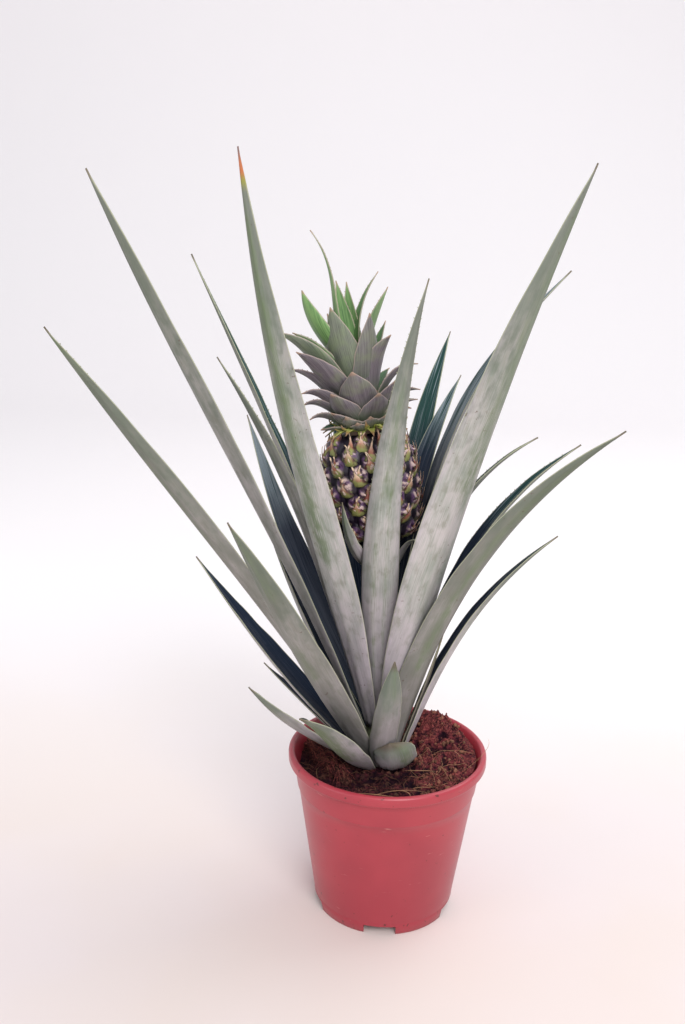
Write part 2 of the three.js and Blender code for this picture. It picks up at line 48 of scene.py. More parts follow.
plantAxis = np.array([-5.0, 6.0, 0.0])  # where the stem leaves the soil
print("frame loaded:", len(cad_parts), "solids")

photoCamera = {
    "position": (0.0, -604.56, 424.57),
    "pan": -2.856, "tilt": 16.098, "roll": 1.133,  # degrees
    "focalPixels": 1100.0, "longSide": 1024.0, "sensor": 36.0,
}


def addObject(name, data):
    # An object of that data, in the scene.
    thing = bpy.data.objects.new(name, data)
    bpy.context.scene.collection.objects.link(thing)
    return thing


def placeCamera():
    # Looks along its pan and tilt, and is rolled about that line.
    pan, tilt, roll = (np.radians(photoCamera[key]) for key in ("pan", "tilt", "roll"))
    ahead = Vector((np.sin(pan) * np.cos(tilt), np.cos(pan) * np.cos(tilt), -np.sin(tilt)))
    right = ahead.cross(Vector((0, 0, 1))).normalized()
    up = right.cross(ahead)
    turnedRight = right * np.cos(roll) + up * np.sin(roll)
    turnedUp = up * np.cos(roll) - right * np.sin(roll)
    camera = addObject("photoCamera", bpy.data.cameras.new("photoCamera"))
    camera.data.sensor_width = photoCamera["sensor"]
    camera.data.lens = photoCamera["focalPixels"] / photoCamera["longSide"] * photoCamera["sensor"]
    place = np.array(photoCamera["position"]) * millimetre + potAxis
    columns = (turnedRight, turnedUp, -ahead)
    camera.matrix_world = Matrix.Translation(Vector(place)) @ Matrix(columns).transposed().to_4x4()
    bpy.context.scene.camera = camera


placeCamera()
print("camera placed")


# Shapes

def shapeOf(points, faces, **layers):
    # Points, faces by their number of corners, and named values at the points.
    flat = {name: np.ravel(values) for name, values in layers.items()}
    return {"points": np.reshape(points, (-1, 3)).astype(float), "faces": faces, "layers": flat}


def joined(shapes):
    # One shape out of several, with each one's faces counted on from the points before it. A value
    # that a shape doesn't have is 0 at its points.
    counts = [len(shape["points"]) for shape in shapes]
    faces, layers = {}, {}
    for shape, start in zip(shapes, np.cumsum([0] + counts)):
        for sides, block in shape["faces"].items():
            faces.setdefault(sides, []).append(block + start)
    for name in sorted({name for shape in shapes for name in shape["layers"]}):
        values = [shape["layers"].get(name, 0.0) for shape in shapes]
        layers[name] = np.concatenate([np.broadcast_to(v, n) for v, n in zip(values, counts)])
    points = np.concatenate([shape["points"] for shape in shapes])
    return shapeOf(points, {sides: np.concatenate(blocks) for sides, blocks in faces.items()}, **layers)


def gridFaces(rows, columns, closed):
    # Quads between neighbouring rows; in a closed grid the last column meets the first.
    i = np.arange(rows - 1)[:, None]
    j = np.arange(columns if closed else columns - 1)[None, :]
    low, high = i * columns + j, i * columns + (j + 1) % columns
    return np.stack([low, high, high + columns, low + columns], axis=-1).reshape(-1, 4)


def tubeFaces(rows, around):
    # The side of a tube, row after row, and one face over each of its ends.
    ring = np.arange(around)
    return {4: gridFaces(rows, around, True), around: np.array([ring[::-1], ring + (rows - 1) * around])}


def sleeveFaces(rows, across):
    # A flat sleeve: two layers, each so many points across, with strips that close both ends.
    around = 2 * across
    j = np.arange(across - 1)
    foot = np.stack([j, around - 1 - j, around - 2 - j, j + 1], axis=1)
    tip = np.stack([j, j + 1, around - 2 - j, around - 1 - j], axis=1) + (rows - 1) * around
    return np.concatenate([gridFaces(rows, around, True), foot, tip])


def repeated(faces, count, points):
    # The same faces on each of many like shapes, which have so many points each.
    return (np.arange(count)[:, None, None] * points + faces).reshape(-1, np.shape(faces)[-1])


def unit(vectors):
    # The same directions, each with a length of one.
    return vectors / np.linalg.norm(vectors, axis=-1, keepdims=True)


def allRound(count):
    # So many angles, evenly round a circle.
    return np.linspace(0, 2 * np.pi, count, endpoint=False)


def aroundAxis(radius, angle, z):
    # Points at a radius, an azimuth in radians and a height.
    return np.stack(np.broadcast_arrays(radius * np.cos(angle), radius * np.sin(angle), z), axis=-1)


def volumeOf(points, faces):
    # Six times the volume inside: each face, as a fan of triangles, with the origin.
    total = 0.0
    for sides, block in faces.items():
        for k in range(1, sides - 1):
            a, b, c = points[block[:, 0]], points[block[:, k]], points[block[:, k + 1]]
            total += np.sum(a * np.cross(b, c))
    return total


def facingOut(shape):
    # Turned right side out: a closed shape whose faces look inwards has a volume below zero.
    if volumeOf(shape["points"], shape["faces"]) < 0:
        shape["faces"] = {sides: block[:, ::-1] for sides, block in shape["faces"].items()}
    return shape


def meshOf(name, points, faces):
    # The arrays put into a mesh; the points are in metres from the frame's origin.
    mesh = bpy.data.meshes.new(name)
    corners = np.concatenate([block.ravel() for block in faces.values()])
    totals = np.concatenate([np.full(len(block), sides) for sides, block in faces.items()])
    mesh.vertices.add(len(points))
    mesh.vertices.foreach_set("co", np.ravel(points))
    mesh.loops.add(len(corners))
    mesh.loops.foreach_set("vertex_index", corners.astype(np.int32))
    mesh.polygons.add(len(totals))
    mesh.polygons.foreach_set("loop_start", (np.cumsum(totals) - totals).astype(np.int32))
    mesh.update(calc_edges=True)
    return mesh


def addPiece(name, shape, material, nodes=()):
    # A smooth mesh of the shape with its values at the points, which stands for the nodes.
    mesh = meshOf(name, shape["points"] * millimetre + potAxis, shape["faces"])
    mesh.polygons.foreach_set("use_smooth", np.ones(len(mesh.polygons), bool))
    for layer, values in shape["layers"].items():
        attribute = mesh.attributes.new(layer, "FLOAT", "POINT")
        attribute.data.foreach_set("value", np.broadcast_to(values, len(shape["points"])).astype(np.float32))
    mesh.validate()
    mesh.materials.append(material)
    piece = addObject(name, mesh)
    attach(piece, "root")
    if nodes:
        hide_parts(*nodes)
    return piece


def wander(x, seed):
    # A smooth random line: random values one apart, eased from one to the next.
    values = np.random.default_rng(seed).uniform(-1, 1, 4096)
    whole = np.floor(x).astype(int)
    part = x - whole
    ease = part * part * (3 - 2 * part)
    return values[whole % 4096] * (1 - ease) + values[(whole + 1) % 4096] * ease


def wanderField(x, y, seed, spacing):
    # The same over a plane, eased both ways between the corners of squares.
    values = np.random.default_rng(seed).uniform(-1, 1, (256, 256))
    x, y = x / spacing, y / spacing
    i, j = np.floor(x).astype(int), np.floor(y).astype(int)
    u, v = (part * part * (3 - 2 * part) for part in (x - i, y - j))
    near = values[i % 256, j % 256] * (1 - u) + values[(i + 1) % 256, j % 256] * u
    far = values[i % 256, (j + 1) % 256] * (1 - u) + values[(i + 1) % 256, (j + 1) % 256] * u
    return near * (1 - v) + far * v


# Materials

def colour(code):
    # A colour as it is seen on a screen, to the values that a shader takes.
    seen = np.array([int(code[k:k + 2], 16) for k in (1, 3, 5)]) / 255
    linear = np.where(seen <= 0.04045, seen / 12.92, ((seen + 0.055) / 1.055) ** 2.4)
    return (*linear, 1.0)


class nodeValue:
    # What a node gives out, which adds and multiplies as a plain number does.
    def __init__(self, owner, socket):
        self.owner, self.socket = owner, socket

    def combined(self, operation, other):
        # One sum of this value and another, or a plain number.
        return self.owner.add("ShaderNodeMath", {0: self, 1: other}, operation=operation)

    def __add__(self, other):
        return self.combined("ADD", other)

    def __sub__(self, other):
        return self.combined("SUBTRACT", other)

    def __mul__(self, other):
        return self.combined("MULTIPLY", other)

    def __truediv__(self, other):
        return self.combined("DIVIDE", other)

    def step(self, low, high):
        # 0 up to low and 1 from high, eased between them; the other way round if low is the larger.
        inputs = {"Value": self, "From Min": low, "From Max": high}
        return self.owner.add("ShaderNodeMapRange", inputs, interpolation_type="SMOOTHSTEP")


class paintedMaterial:
    # A material: its colours by name, the values set on its shader, and the nodes that paint it.
    def __init__(self, name, look, shine):
        self.look = {key: colour(code) for key, code in look.items()}
        self.material = bpy.data.materials.new(name)
        self.material.use_nodes = True
        self.tree = self.material.node_tree
        self.shader = self.tree.nodes["Principled BSDF"]
        for socket, value in shine.items():
            self.shader.inputs[socket].default_value = value

    def add(self, kind, inputs, output=0, **settings):
        # A node with its settings; an input is a fixed value, a colour's name or a nodeValue.
        node = self.tree.nodes.new(kind)
        for key, value in settings.items():
            setattr(node, key, value)
        for key, value in inputs.items():
            if isinstance(value, nodeValue):
                self.tree.links.new(value.socket, node.inputs[key])
            else:
                node.inputs[key].default_value = self.look[value] if isinstance(value, str) else value
        return nodeValue(self, node.outputs[output])

    def layer(self, name):
        # A value named at the points of the shape.
        return self.add("ShaderNodeAttribute", {}, "Fac", attribute_name=name)

    def place(self):
        # The place of each point of the shape, in metres.
        return self.add("ShaderNodeTexCoord", {}, "Object")

    def placeOn(self, axis):
        # How far along one axis it is.
        return self.add("ShaderNodeSeparateXYZ", {"Vector": self.place()}, axis)

    def noise(self, place, scale, detail, roughness=0.5):
        # Soft noise of 0 to 1, with so many grains to a unit of the place.
        inputs = {"Vector": place, "Scale": scale, "Detail": detail, "Roughness": roughness}
        return self.add("ShaderNodeTexNoise", inputs, "Fac")

    def grain(self, size, detail=4.0, roughness=0.5):
        # Noise of a size in mm, the same in all directions.
        return self.noise(self.place(), 1 / (size * millimetre), detail, roughness)

    def grainAlong(self, wide, long, detail=2.0):
        # Noise drawn out along a blade: how far it repeats across and along, in mm.
        x, y = self.layer("across") / wide, self.layer("along") / long
        place = self.add("ShaderNodeCombineXYZ", {"X": x, "Y": y, "Z": self.layer("seed")})
        return self.noise(place, 1.0, detail)

    def coated(self, under, *coats):
        # A colour with coats over it, each an amount and the colour that it is painted in.
        for amount, over in coats:
            under = self.add("ShaderNodeMix", {0: amount, 6: under, 7: over}, 2, data_type="RGBA")
        return under

    def finished(self, skin, relief, strength, distance):
        # Colour and relief go to the shader; the distance is the relief's depth in mm.
        inputs = {"Height": relief, "Strength": strength, "Distance": distance * millimetre}
        normal = self.add("ShaderNodeBump", inputs, "Normal")
        self.tree.links.new(skin.socket, self.shader.inputs["Base Color"])
        self.tree.links.new(normal.socket, self.shader.inputs["Normal"])
        return self.material


leafLook = {
    "scurf": "#beb9b8", "scurfGreen": "#9aa198", "scurfMauve": "#aaa0a9", "smudge": "#7f8272",
    "green": "#6a7a5b", "tipGrey": "#636d5f", "worn": "#707068", "brown": "#5e4d40", "straw": "#b9a77c",
    "orange": "#b5704c", "yellow": "#8f8f4a", "ashen": "#7d6460",
    # Inside colours: the navy one is painted shade low down; the silver one is scurf lines with a painted
    # sheen.
    "inside": "#1e403c", "insideShadeNavy": "#0c1330", "insideSilverSheen": "#8f9ba3", "margin": "#b9bb9f",
}


def leafMaterial():
    # Outside: scurf in soft blotches over green, finely ribbed, mauve low down, greyer towards the
    # tip and, in blotches, greyer and darker by each leaf's own amount, with brown scars. Inside: dark
    # blue-green, with painted shade in navy low down and silver scurf lines that carry a painted
    # sheen. A dry tip goes from yellow over orange to ashen.
    leaf = paintedMaterial("leafSkin", leafLook, {"Roughness": 0.5, "Specular IOR Level": 0.18})
    along, tipward, rim, green = (leaf.layer(name) for name in ("along", "tipward", "rim", "green"))
    fine, streaks = leaf.grainAlong(0.45, 40.0), leaf.grainAlong(0.3, 11.0, 4.0)
    blotch, smudge = leaf.grainAlong(7.0, 26.0, 5.0), leaf.grainAlong(4.0, 9.0, 6.0)
    scratch, ribs = leaf.grainAlong(2.2, 2.6, 6.0), leaf.grainAlong(0.8, 400.0, 1.0)
    patches, flecks = leaf.grain(26.0, 5.0, 0.6), leaf.grain(2.6, 6.0, 0.65)
    low = along.step(130.0, 20.0) + patches * 0.5
    # How grey and dark the outside is painted, by each leaf's own amount, in blotches.
    old = leaf.layer("worn") + (blotch - 0.5) * 0.9
    nearTip = tipward / (tipward + along) + (smudge - 0.5) * 0.6
    ragged = (smudge - 0.5) * 1.6 + (streaks - 0.5) * 2.6
    outside = leaf.coated(
        "scurf",
        ((blotch + (fine - 0.5) * 0.45).step(0.32, 0.74), "scurfGreen"),
        (streaks.step(0.45, 0.72) * 0.45, "smudge"),
        (rim.step(4.5, 0.6) * 0.35, "scurfMauve"),
        (low.step(0.3, 1.2) * 0.7, "scurfMauve"),
        (smudge.step(0.48, 0.72) * 0.5, "smudge"),
        (old.step(0.0, 1.1) * 0.9, "worn"),
        (nearTip.step(0.5, 0.12) * 0.8, "tipGrey"),
        ((green + green * ragged).step(0.1, 1.5) * 0.85, "green"),
        (scratch.step(0.63, 0.72) * patches.step(0.5, 0.62) * 0.75, "brown"),
        (flecks.step(0.7, 0.78) * 0.45, "brown"),
    )
    # Painted shade in navy low down on the inside, where the leaves close round the stem.
    deep = along.step(240.0, 90.0) + patches * 0.4
    inside = leaf.coated(
        "inside",
        # Silver scurf lines, brightened by each leaf's amount into a painted sheen.
        ((fine + leaf.layer("silver") * 0.4).step(0.62, 0.86) * 0.85, "insideSilverSheen"),
        (deep.step(0.5, 1.1) * 0.85, "insideShadeNavy"),
    )
    dry = leaf.layer("dry")
    skin = leaf.coated(
        inside,
        (leaf.layer("outer"), outside),
        (rim.step(0.5, 0.12) * 0.7, "margin"),
        (tipward.step(7.0, 1.0) * 0.75, "brown"),
        (dry.step(0.0, 0.3), "yellow"),
        (dry.step(0.25, 0.5), "orange"),
        (dry.step(0.6, 0.95), "ashen"),
        (leaf.layer("withered"), leaf.coated("straw", (fine, "brown"))),
    )
    return leaf.finished(skin, ribs + flecks * 0.35, 0.3, 0.5)


crownLook = {
    "mauve": "#82797f", "mauveDark": "#4e474e", "green": "#67795a", "olive": "#838b6c",
    "young": "#84a96a", "youngDark": "#4f7546",
    "collar": "#b2b965", "collarTip": "#9a7a48",
    "inside": "#3f5b48", "tip": "#a08068", "margin": "#c2aca2",
}


def crownMaterial():
    # Foot leaves mauve-grey over green roots, heart leaves fresh green, all with tan tips.
    leaf = paintedMaterial("crownSkin", crownLook, {"Roughness": 0.48, "Specular IOR Level": 0.35})
    young, tipward = leaf.layer("young"), leaf.layer("tipward")
    fine, ribs = leaf.grainAlong(0.4, 16.0, 3.0), leaf.grainAlong(0.5, 300.0, 1.0)
    patches = leaf.grain(9.0, 4.0, 0.55)
    nearRoot = leaf.layer("along") + patches * 14.0
    old = leaf.coated(
        "mauve",
        (fine.step(0.25, 0.85), "mauveDark"),
        (nearRoot.step(26.0, 10.0) * 0.8, "green"),
        (patches.step(0.45, 0.7) * 0.45, "olive"),
    )
    fresh = leaf.coated("young", (fine.step(0.4, 0.72), "youngDark"))
    skin = leaf.coated(
        leaf.coated("inside", (young, fresh)),
        (leaf.layer("outer"), leaf.coated(old, (young, fresh))),
        (leaf.layer("rim").step(0.7, 0.1) * 0.6, "margin"),
        (leaf.layer("collar"), leaf.coated("collar", (tipward.step(6.0, 1.5), "collarTip"))),
        (tipward.step(3.0, 0.8) * 0.7, "tip"),
    )
    return leaf.finished(skin, ribs, 0.3, 0.35)


leafSkin = leafMaterial()
crownSkin = crownMaterial()
print("leaf and crown materials made")


# Blades: the long leaves, the stalk's bracts and the crown's leaves

bladeForm = {  # what a row leaves out
    "channel": 43, "taper": 1.5, "widest": 0.35, "bend": (0.38, 0.38), "late": 1, "sway": 0, "twist": 0,
    "uneven": 0.03, "bands": (), "dryFrom": 1.0, "worn": 0.15, "silver": 0.3, "young": 0.0,
    "withered": 0.0, "collar": 0.0,
}
leafForm = {
    "midrib": 1.7, "margin": 0.35, "tipWidth": 0.5, "across": 25, "spacing": 4.0, "foldDepth": 0.25,
    "clear": 1.3,  # of the stem, at the root
}
stemRows = [  # height, radius, and how far the stem has wandered from the plant's axis
    (70.3, 10.5, 0, 0), (88, 12, 0, 0), (104, 10.2, 0, 0), (122, 8, 0, 0),
    (142, 6.2, 0, 0), (170, 5.4, -0.5, -0.5), (205, 5.4, -2.2, -1.5), (232.6, 6.4, -5, -2),
]


def stemAt(z):
    # Radius and middle of the stem at a height, straight between the rows.
    heights, *columns = np.transpose(stemRows)
    return [np.interp(z, heights, column) for column in columns]


def midribOf(blade, s):
    # A cubic curve in reach and height that meets its ends at their leans, turned to its azimuth.
    _, reach, height = blade["tip"]
    ends = np.array([[blade["rootRadius"], blade["root"][0]], [reach, height]])
    chord = np.hypot(*(ends[1] - ends[0]))
    low, high = (np.array([np.sin(a), np.cos(a)]) for a in np.radians(blade["leans"]))
    handles = [ends[0] + low * blade["bend"][0] * chord, ends[1] - high * blade["bend"][1] * chord]
    t = s[:, None]
    curve = (1 - t) ** 3 * ends[0] + 3 * (1 - t) ** 2 * t * handles[0]
    curve = curve + 3 * (1 - t) * t ** 2 * handles[1] + t ** 3 * ends[1]
    return aroundAxis(curve[:, 0], angleOf(blade, s), curve[:, 1])


def angleOf(blade, s):
    # The azimuth in radians: the tip's, less what is left of the sway.
    return np.radians(blade["tip"][0] + blade["sway"] * (s ** blade["late"] - 1))


def widthOf(blade, s):
    # Swells from the root's share of the width to its widest place, then tapers.
    widest = blade["widest"]
    swell = np.sin(np.minimum(s / widest, 1) * np.pi / 2)
    swell = blade["root"][1] + (1 - blade["root"][1]) * swell
    narrowing = 1 - np.maximum((s - widest) / (1 - widest), 0) ** blade["taper"]
    uneven = 1 + blade["uneven"] * wander(s * 9, int(blade["seed"] * 13))
    return np.maximum(blade["width"] * swell * narrowing * uneven, blade["form"]["tipWidth"])


def lengthOf(points):
    # The way along a line of points.
    return np.sum(np.linalg.norm(np.diff(points, axis=0), axis=1))


def bladeFrame(blade, s):
    # The midrib's points, and at each one the ways along, sideways and inwards, twisted with s.
    along = unit(midribOf(blade, np.minimum(s + 0.01, 1)) - midribOf(blade, np.maximum(s - 0.01, 0)))
    angle = angleOf(blade, s)
    flat = np.stack([-np.sin(angle), np.cos(angle), 0 * angle], axis=1)
    flat = unit(flat - along * np.sum(along * flat, axis=1, keepdims=True))
    face = np.cross(along, flat)
    turn = (np.radians(blade["twist"]) * s)[:, None]
    side, inward = flat * np.cos(turn) + face * np.sin(turn), face * np.cos(turn) - flat * np.sin(turn)
    return midribOf(blade, s), along, side, inward


def bladeShape(blade):
    # An arc across the midrib, bent into a channel that opens from the stem, with the thickness
    # set off to both sides of it. Folds run along it, and its margins sway.
    form, opensBy = blade["form"], 0.3
    s, u = np.linspace(0, 1, blade["stations"]), np.linspace(-1, 1, form["across"])
    centre, _, side, inward = bladeFrame(blade, s)
    opening = np.minimum(s / opensBy, 1) ** 0.8
    half = (blade["rootHug"] + (np.radians(blade["channel"]) - blade["rootHug"]) * opening)[:, None]
    width = widthOf(blade, s)[:, None]
    bend = width / (2 * half)
    sine, cosine = np.sin(half * u)[..., None], np.cos(half * u)[..., None]
    sway = wander(s * 14, int(blade["seed"] * 7) + 3)[:, None] * np.abs(u) ** 3
    folds = np.cos(u * 9.5 + blade["seed"]) * (1 - u ** 2) * np.minimum(width / 12, 1)
    lift = bend[..., None] * (1 - cosine) + (form["foldDepth"] * (folds + sway))[..., None]
    side, inward = side[:, None], inward[:, None]
    middle = centre[:, None] + side * bend[..., None] * sine + inward * lift
    thick = form["margin"] + (form["midrib"] - form["margin"]) * (1 - u ** 2) * (1 - 0.6 * s[:, None] ** 2)
    offset = (inward * cosine - side * sine) * thick[..., None] / 2
    ring = np.concatenate([middle + offset, (middle - offset)[:, ::-1]], axis=1)
    across, climb = np.broadcast_arrays(np.concatenate([u, u[::-1]]), s[:, None])
    run = lengthOf(centre)
    layers = {
        "across": across * width / 2, "along": climb * run,
        "rim": (1 - np.abs(across)) * width / 2, "tipward": (1 - climb) * run,
        "outer": np.tile(np.repeat([0.0, 1.0], len(u)), (len(s), 1)),
        "green": greenAt(blade, across, climb), "dry": dryAt(blade, climb),
    }
    whole = {key: blade[key] for key in ("seed", "worn", "silver", "young", "withered", "collar")}
    return facingOut(shapeOf(ring, {4: sleeveFaces(len(s), len(u))}, **layers, **whole))


def greenAt(blade, u, s):
    # Bands of bare green: each is (place across, half width, from, to, strength), soft all round.
    total, soft = np.zeros(s.shape), 0.07
    for place, half, start, end, strength in blade["bands"]:
        fade = np.clip((s - start) / soft, 0, 1) * np.clip((end - s) / soft, 0, 1)
        total += strength * np.exp(-((u - place) / half) ** 2) * fade
    return total


def dryAt(blade, s):
    # A tip that has dried out: 0 where the drying starts, 1 at the very tip.
    start = blade["dryFrom"]
    return np.clip((s - start) / (1 - start), 0, 1) if start < 1 else np.zeros(s.shape)


def spinesOf(blade, start, end, spacing, length):
    # Four-sided hooks along both margins, each from a small foot to a fine point ahead of it.
    share = spacing / lengthOf(midribOf(blade, np.linspace(0, 1, 60)))
    s = np.arange(start, end, share)
    half = np.radians(blade["channel"])
    diamond = ((-1, 0), (0, -1), (1, 0), (0, 1))
    corners = [[k, (k + 1) % 4, 4 + (k + 1) % 4, 4 + k] for k in range(4)] + [[4, 5, 6, 7], [3, 2, 1, 0]]
    faces = {4: repeated(np.array(corners), len(s), 8)}
    shapes = []
    for edge in (-1, 1):
        places = s + 0.3 * share * wander(s * 400, int(blade["seed"] * 5) + edge)
        centre, along, side, inward = bladeFrame(blade, places)
        bend = (widthOf(blade, places) / (2 * half))[:, None]
        root = centre + side * bend * edge * np.sin(half) + inward * bend * (1 - np.cos(half))
        out = side * edge * np.cos(half) + inward * np.sin(half)
        up = np.cross(along, out)
        size = (length * (0.75 + 0.25 * wander(s * 170, int(blade["seed"]) + 4)))[:, None]
        foot = [root - out * 0.15 + along * 0.5 * a + up * 0.2 * b for a, b in diamond]
        point = root + out * size * 0.8 + along * size * 0.75
        top = [point + along * 0.05 * a + up * 0.05 * b for a, b in diamond]
        points = np.stack(foot + top, axis=1)
        plain = {"outer": 1.0, "along": 200.0, "tipward": 50.0}
        shapes.append(facingOut(shapeOf(points, faces, seed=blade["seed"], young=blade["young"], **plain)))
    return joined(shapes)


def bladeFrom(row, rootRadius, form, seed):
    # A row with all that it leaves out; its root hugs the stem as far round as its width goes.
    blade = {**bladeForm, **row, "rootRadius": rootRadius, "form": form, "seed": seed}
    _, reach, height = row["tip"]
    length = np.hypot(reach - rootRadius, height - row["root"][0])
    blade["rootHug"] = row["width"] * row["root"][1] / (2 * rootRadius)
    blade["stations"] = int(length / form["spacing"]) + 8
    return blade


# The long leaves. A tip is azimuth, reach and height; leans are from upright, at root and tip; a
# root is its height and its share of the width. The grey value is how grey and dark the outside is
# painted; the silver value is how bright the inside's scurf lines are, with a painted sheen. Bands
# are bare green; spines start and end along the margins, with their spacing and length.
leaves = {
    # left
    "leaf_01": dict(tip=(210, 166, 434), leans=(23, 26), width=25, root=(112, 0.5), sway=20, twist=12,
        taper=3, worn=0.5, bands=[(0.0, 0.3, 0.5, 0.9, 0.45)]),
    "leaf_02": dict(tip=(208, 188, 361), leans=(32, 34), width=25, root=(102, 0.6), twist=24, taper=2.8,
        worn=0.8, bands=[(0.1, 0.9, 0.88, 1.1, 0.9), (-0.1, 0.3, 0.45, 0.8, 0.5)],
        spines=(0.9, 0.98, 4.5, 0.7)),
    "leaf_03": dict(tip=(234, 129, 271), leans=(38, 32), width=29, root=(97, 0.5), taper=2.6, worn=0.8,
        bands=[(0.0, 0.4, 0.35, 0.6, 0.7), (0.3, 0.5, 0.7, 1.05, 0.7)]),
    "leaf_04": dict(tip=(170, 117, 211), leans=(50, 37), width=25, root=(95, 0.6)),
    "leaf_05": dict(tip=(162, 78, 141), leans=(48, 50), width=13, root=(90, 0.8), worn=0.6,
        bands=[(0.0, 0.7, 0.4, 1.0, 0.7)]),
    "leaf_06": dict(tip=(198, 81, 147), leans=(66, 38), width=20, root=(93, 0.4), twist=45, worn=0.5,
        bands=[(0.0, 0.6, 0.3, 1.0, 0.5)]),
    "leaf_07": dict(tip=(236, 78, 148), leans=(62, 54), width=30, root=(90, 0.42), sway=-3, taper=3,
        worn=0.35, bands=[(-0.2, 0.8, 0.25, 1.1, 1.5)]),
    "leaf_08": dict(tip=(228, 109, 445), leans=(18, 8), width=29, root=(117, 0.36), sway=-4, taper=1.9,
        dryFrom=0.945, bands=[(0.0, 0.42, 0.3, 0.97, 1.3)]),
    "leaf_09": dict(tip=(172, 115, 391), leans=(17, 25), width=22, root=(133, 0.45), twist=12, worn=0.5,
        spines=(0.6, 0.97, 4.2, 1.1)),
    "leaf_10": dict(tip=(201, 98, 341), leans=(18, 32), width=19, root=(122, 0.45), sway=5, twist=34,
        worn=0.5, spines=(0.55, 0.97, 4.2, 1.1)),
    # front
    "leaf_11": dict(tip=(286, 64, 386), leans=(15, 13), width=23, root=(129, 0.45), late=2, sway=24,
        taper=1.4,
        bands=[(-0.25, 0.16, 0.0, 0.5, 0.7), (0.3, 0.14, 0.05, 0.6, 0.6), (0.1, 0.4, 0.5, 0.85, 0.8)],
        spines=(0.55, 0.97, 4.0, 1.2)),
    "leaf_12": dict(tip=(326, 114, 441), leans=(17, 20), width=36, root=(116, 0.25), late=0.5, sway=38,
        taper=2.6, bands=[(0.15, 0.45, 0.42, 1.0, 1.0)]),
    "leaf_13": dict(tip=(281, 40, 173), leans=(36, -8), width=17, root=(92, 0.4), sway=9, taper=3.6,
        worn=0.7, bands=[(0.2, 0.5, 0.7, 1.05, 0.6)]),
    "leaf_14": dict(tip=(281, 32, 118), leans=(74, -14), width=28, root=(91, 0.2), sway=-23, twist=-22,
        taper=7, widest=0.5, bands=[(0.5, 0.5, 0.3, 1.1, 1.0)]),
    # right
    "leaf_15": dict(tip=(335, 133, 312), leans=(14, 51), width=29, root=(101, 0.45), bend=(0.24, 0.42),
        sway=16, twist=-20, taper=2.8, worn=0.85, bands=[(-0.3, 0.3, 0.25, 0.95, 0.9)]),
    "leaf_16": dict(tip=(5, 110, 290), leans=(17, 54), width=20, root=(108, 0.5), sway=-8, taper=2.2,
        worn=0.6, bands=[(0.0, 0.5, 0.5, 1.0, 0.7)], spines=(0.55, 0.96, 4.0, 1.1)),
    "leaf_17": dict(tip=(352, 83, 298), leans=(12, 58), width=16, root=(113, 0.55), sway=6, taper=2.2,
        spines=(0.6, 0.96, 4.0, 1.1)),
    "leaf_18": dict(tip=(0, 99, 238), leans=(22, 50), width=23, root=(93, 0.5), bend=(0.28, 0.42),
        twist=-8, taper=2.1),
    "leaf_19": dict(tip=(354, 36, 177), leans=(22, 14), width=9, root=(98, 0.6), withered=0.4),
    # back
    "leaf_20": dict(tip=(70, 106, 342), leans=(6, 48), width=16, root=(126, 0.45), bend=(0.45, 0.36),
        taper=1.7, widest=0.55, channel=30, silver=0.2),
    "leaf_21": dict(tip=(60, 86, 318), leans=(3, 50), width=15, root=(138, 0.45), bend=(0.5, 0.33),
        widest=0.55, channel=30, silver=0.55),
    "leaf_22": dict(tip=(5, 97, 387), leans=(4, 43), width=21, root=(119, 0.4), bend=(0.5, 0.36),
        sway=-8, taper=2.2, widest=0.5, channel=30, silver=0.75),
    "leaf_23": dict(tip=(141, 117, 289), leans=(42, 20), width=23, root=(117, 0.28), sway=5, taper=1.9,
        silver=0.85),
    "leaf_24": dict(tip=(181, 71, 245), leans=(27, 17), width=21, root=(105, 0.3), sway=11, silver=0.3),
    "leaf_25": dict(tip=(118, 80, 322), leans=(32, 2), width=20, root=(107, 0.4), sway=15, silver=0.3),
    "leaf_26": dict(tip=(82, 98, 262), leans=(28, 36), width=20, root=(94, 0.5)),
    "leaf_27": dict(tip=(112, 112, 215), leans=(40, 40), width=19, root=(91, 0.6)),
    "leaf_28": dict(tip=(60, 72, 286), leans=(18, 24), width=19, root=(103, 0.42)),
}
allGreen = [(0.0, 0.8, 0.0, 1.1, 0.8)]
stalkBracts = {
    "bract_01": dict(tip=(236, 37, 263), leans=(62, 2), width=12, root=(216, 0.8), sway=-6),
    "bract_02": dict(tip=(314, 34, 238), leans=(40, 125), width=7, root=(211, 0.9)),
    "bract_03": dict(tip=(100, 34, 244), leans=(60, 20), width=11, root=(212, 0.8)),
}


def addLeaf(node, row, seed):
    # A leaf stands on the stem where its root is.
    radius, x, y = stemAt(row["root"][0])
    blade = bladeFrom(row, radius + leafForm["clear"], leafForm, seed)
    shapes = [bladeShape(blade)]
    if "spines" in row:
        shapes.append(spinesOf(blade, *row["spines"]))
    shape = joined(shapes)
    shape["points"] += plantAxis + np.array([x, y, 0])
    addPiece(node.replace("_", "Blade"), shape, leafSkin, [node])


seedStep = 3.7  # each blade has its own seed, for its folds and its grain
for index, (node, row) in enumerate(leaves.items()):
    addLeaf(node, row, 1.0 + index * seedStep)
for index, (node, row) in enumerate(stalkBracts.items()):
    addLeaf(node, {**row, "bands": allGreen}, 140.0 + index * seedStep)
print("leaves made:", len(leaves) + len(stalkBracts))


# The crown

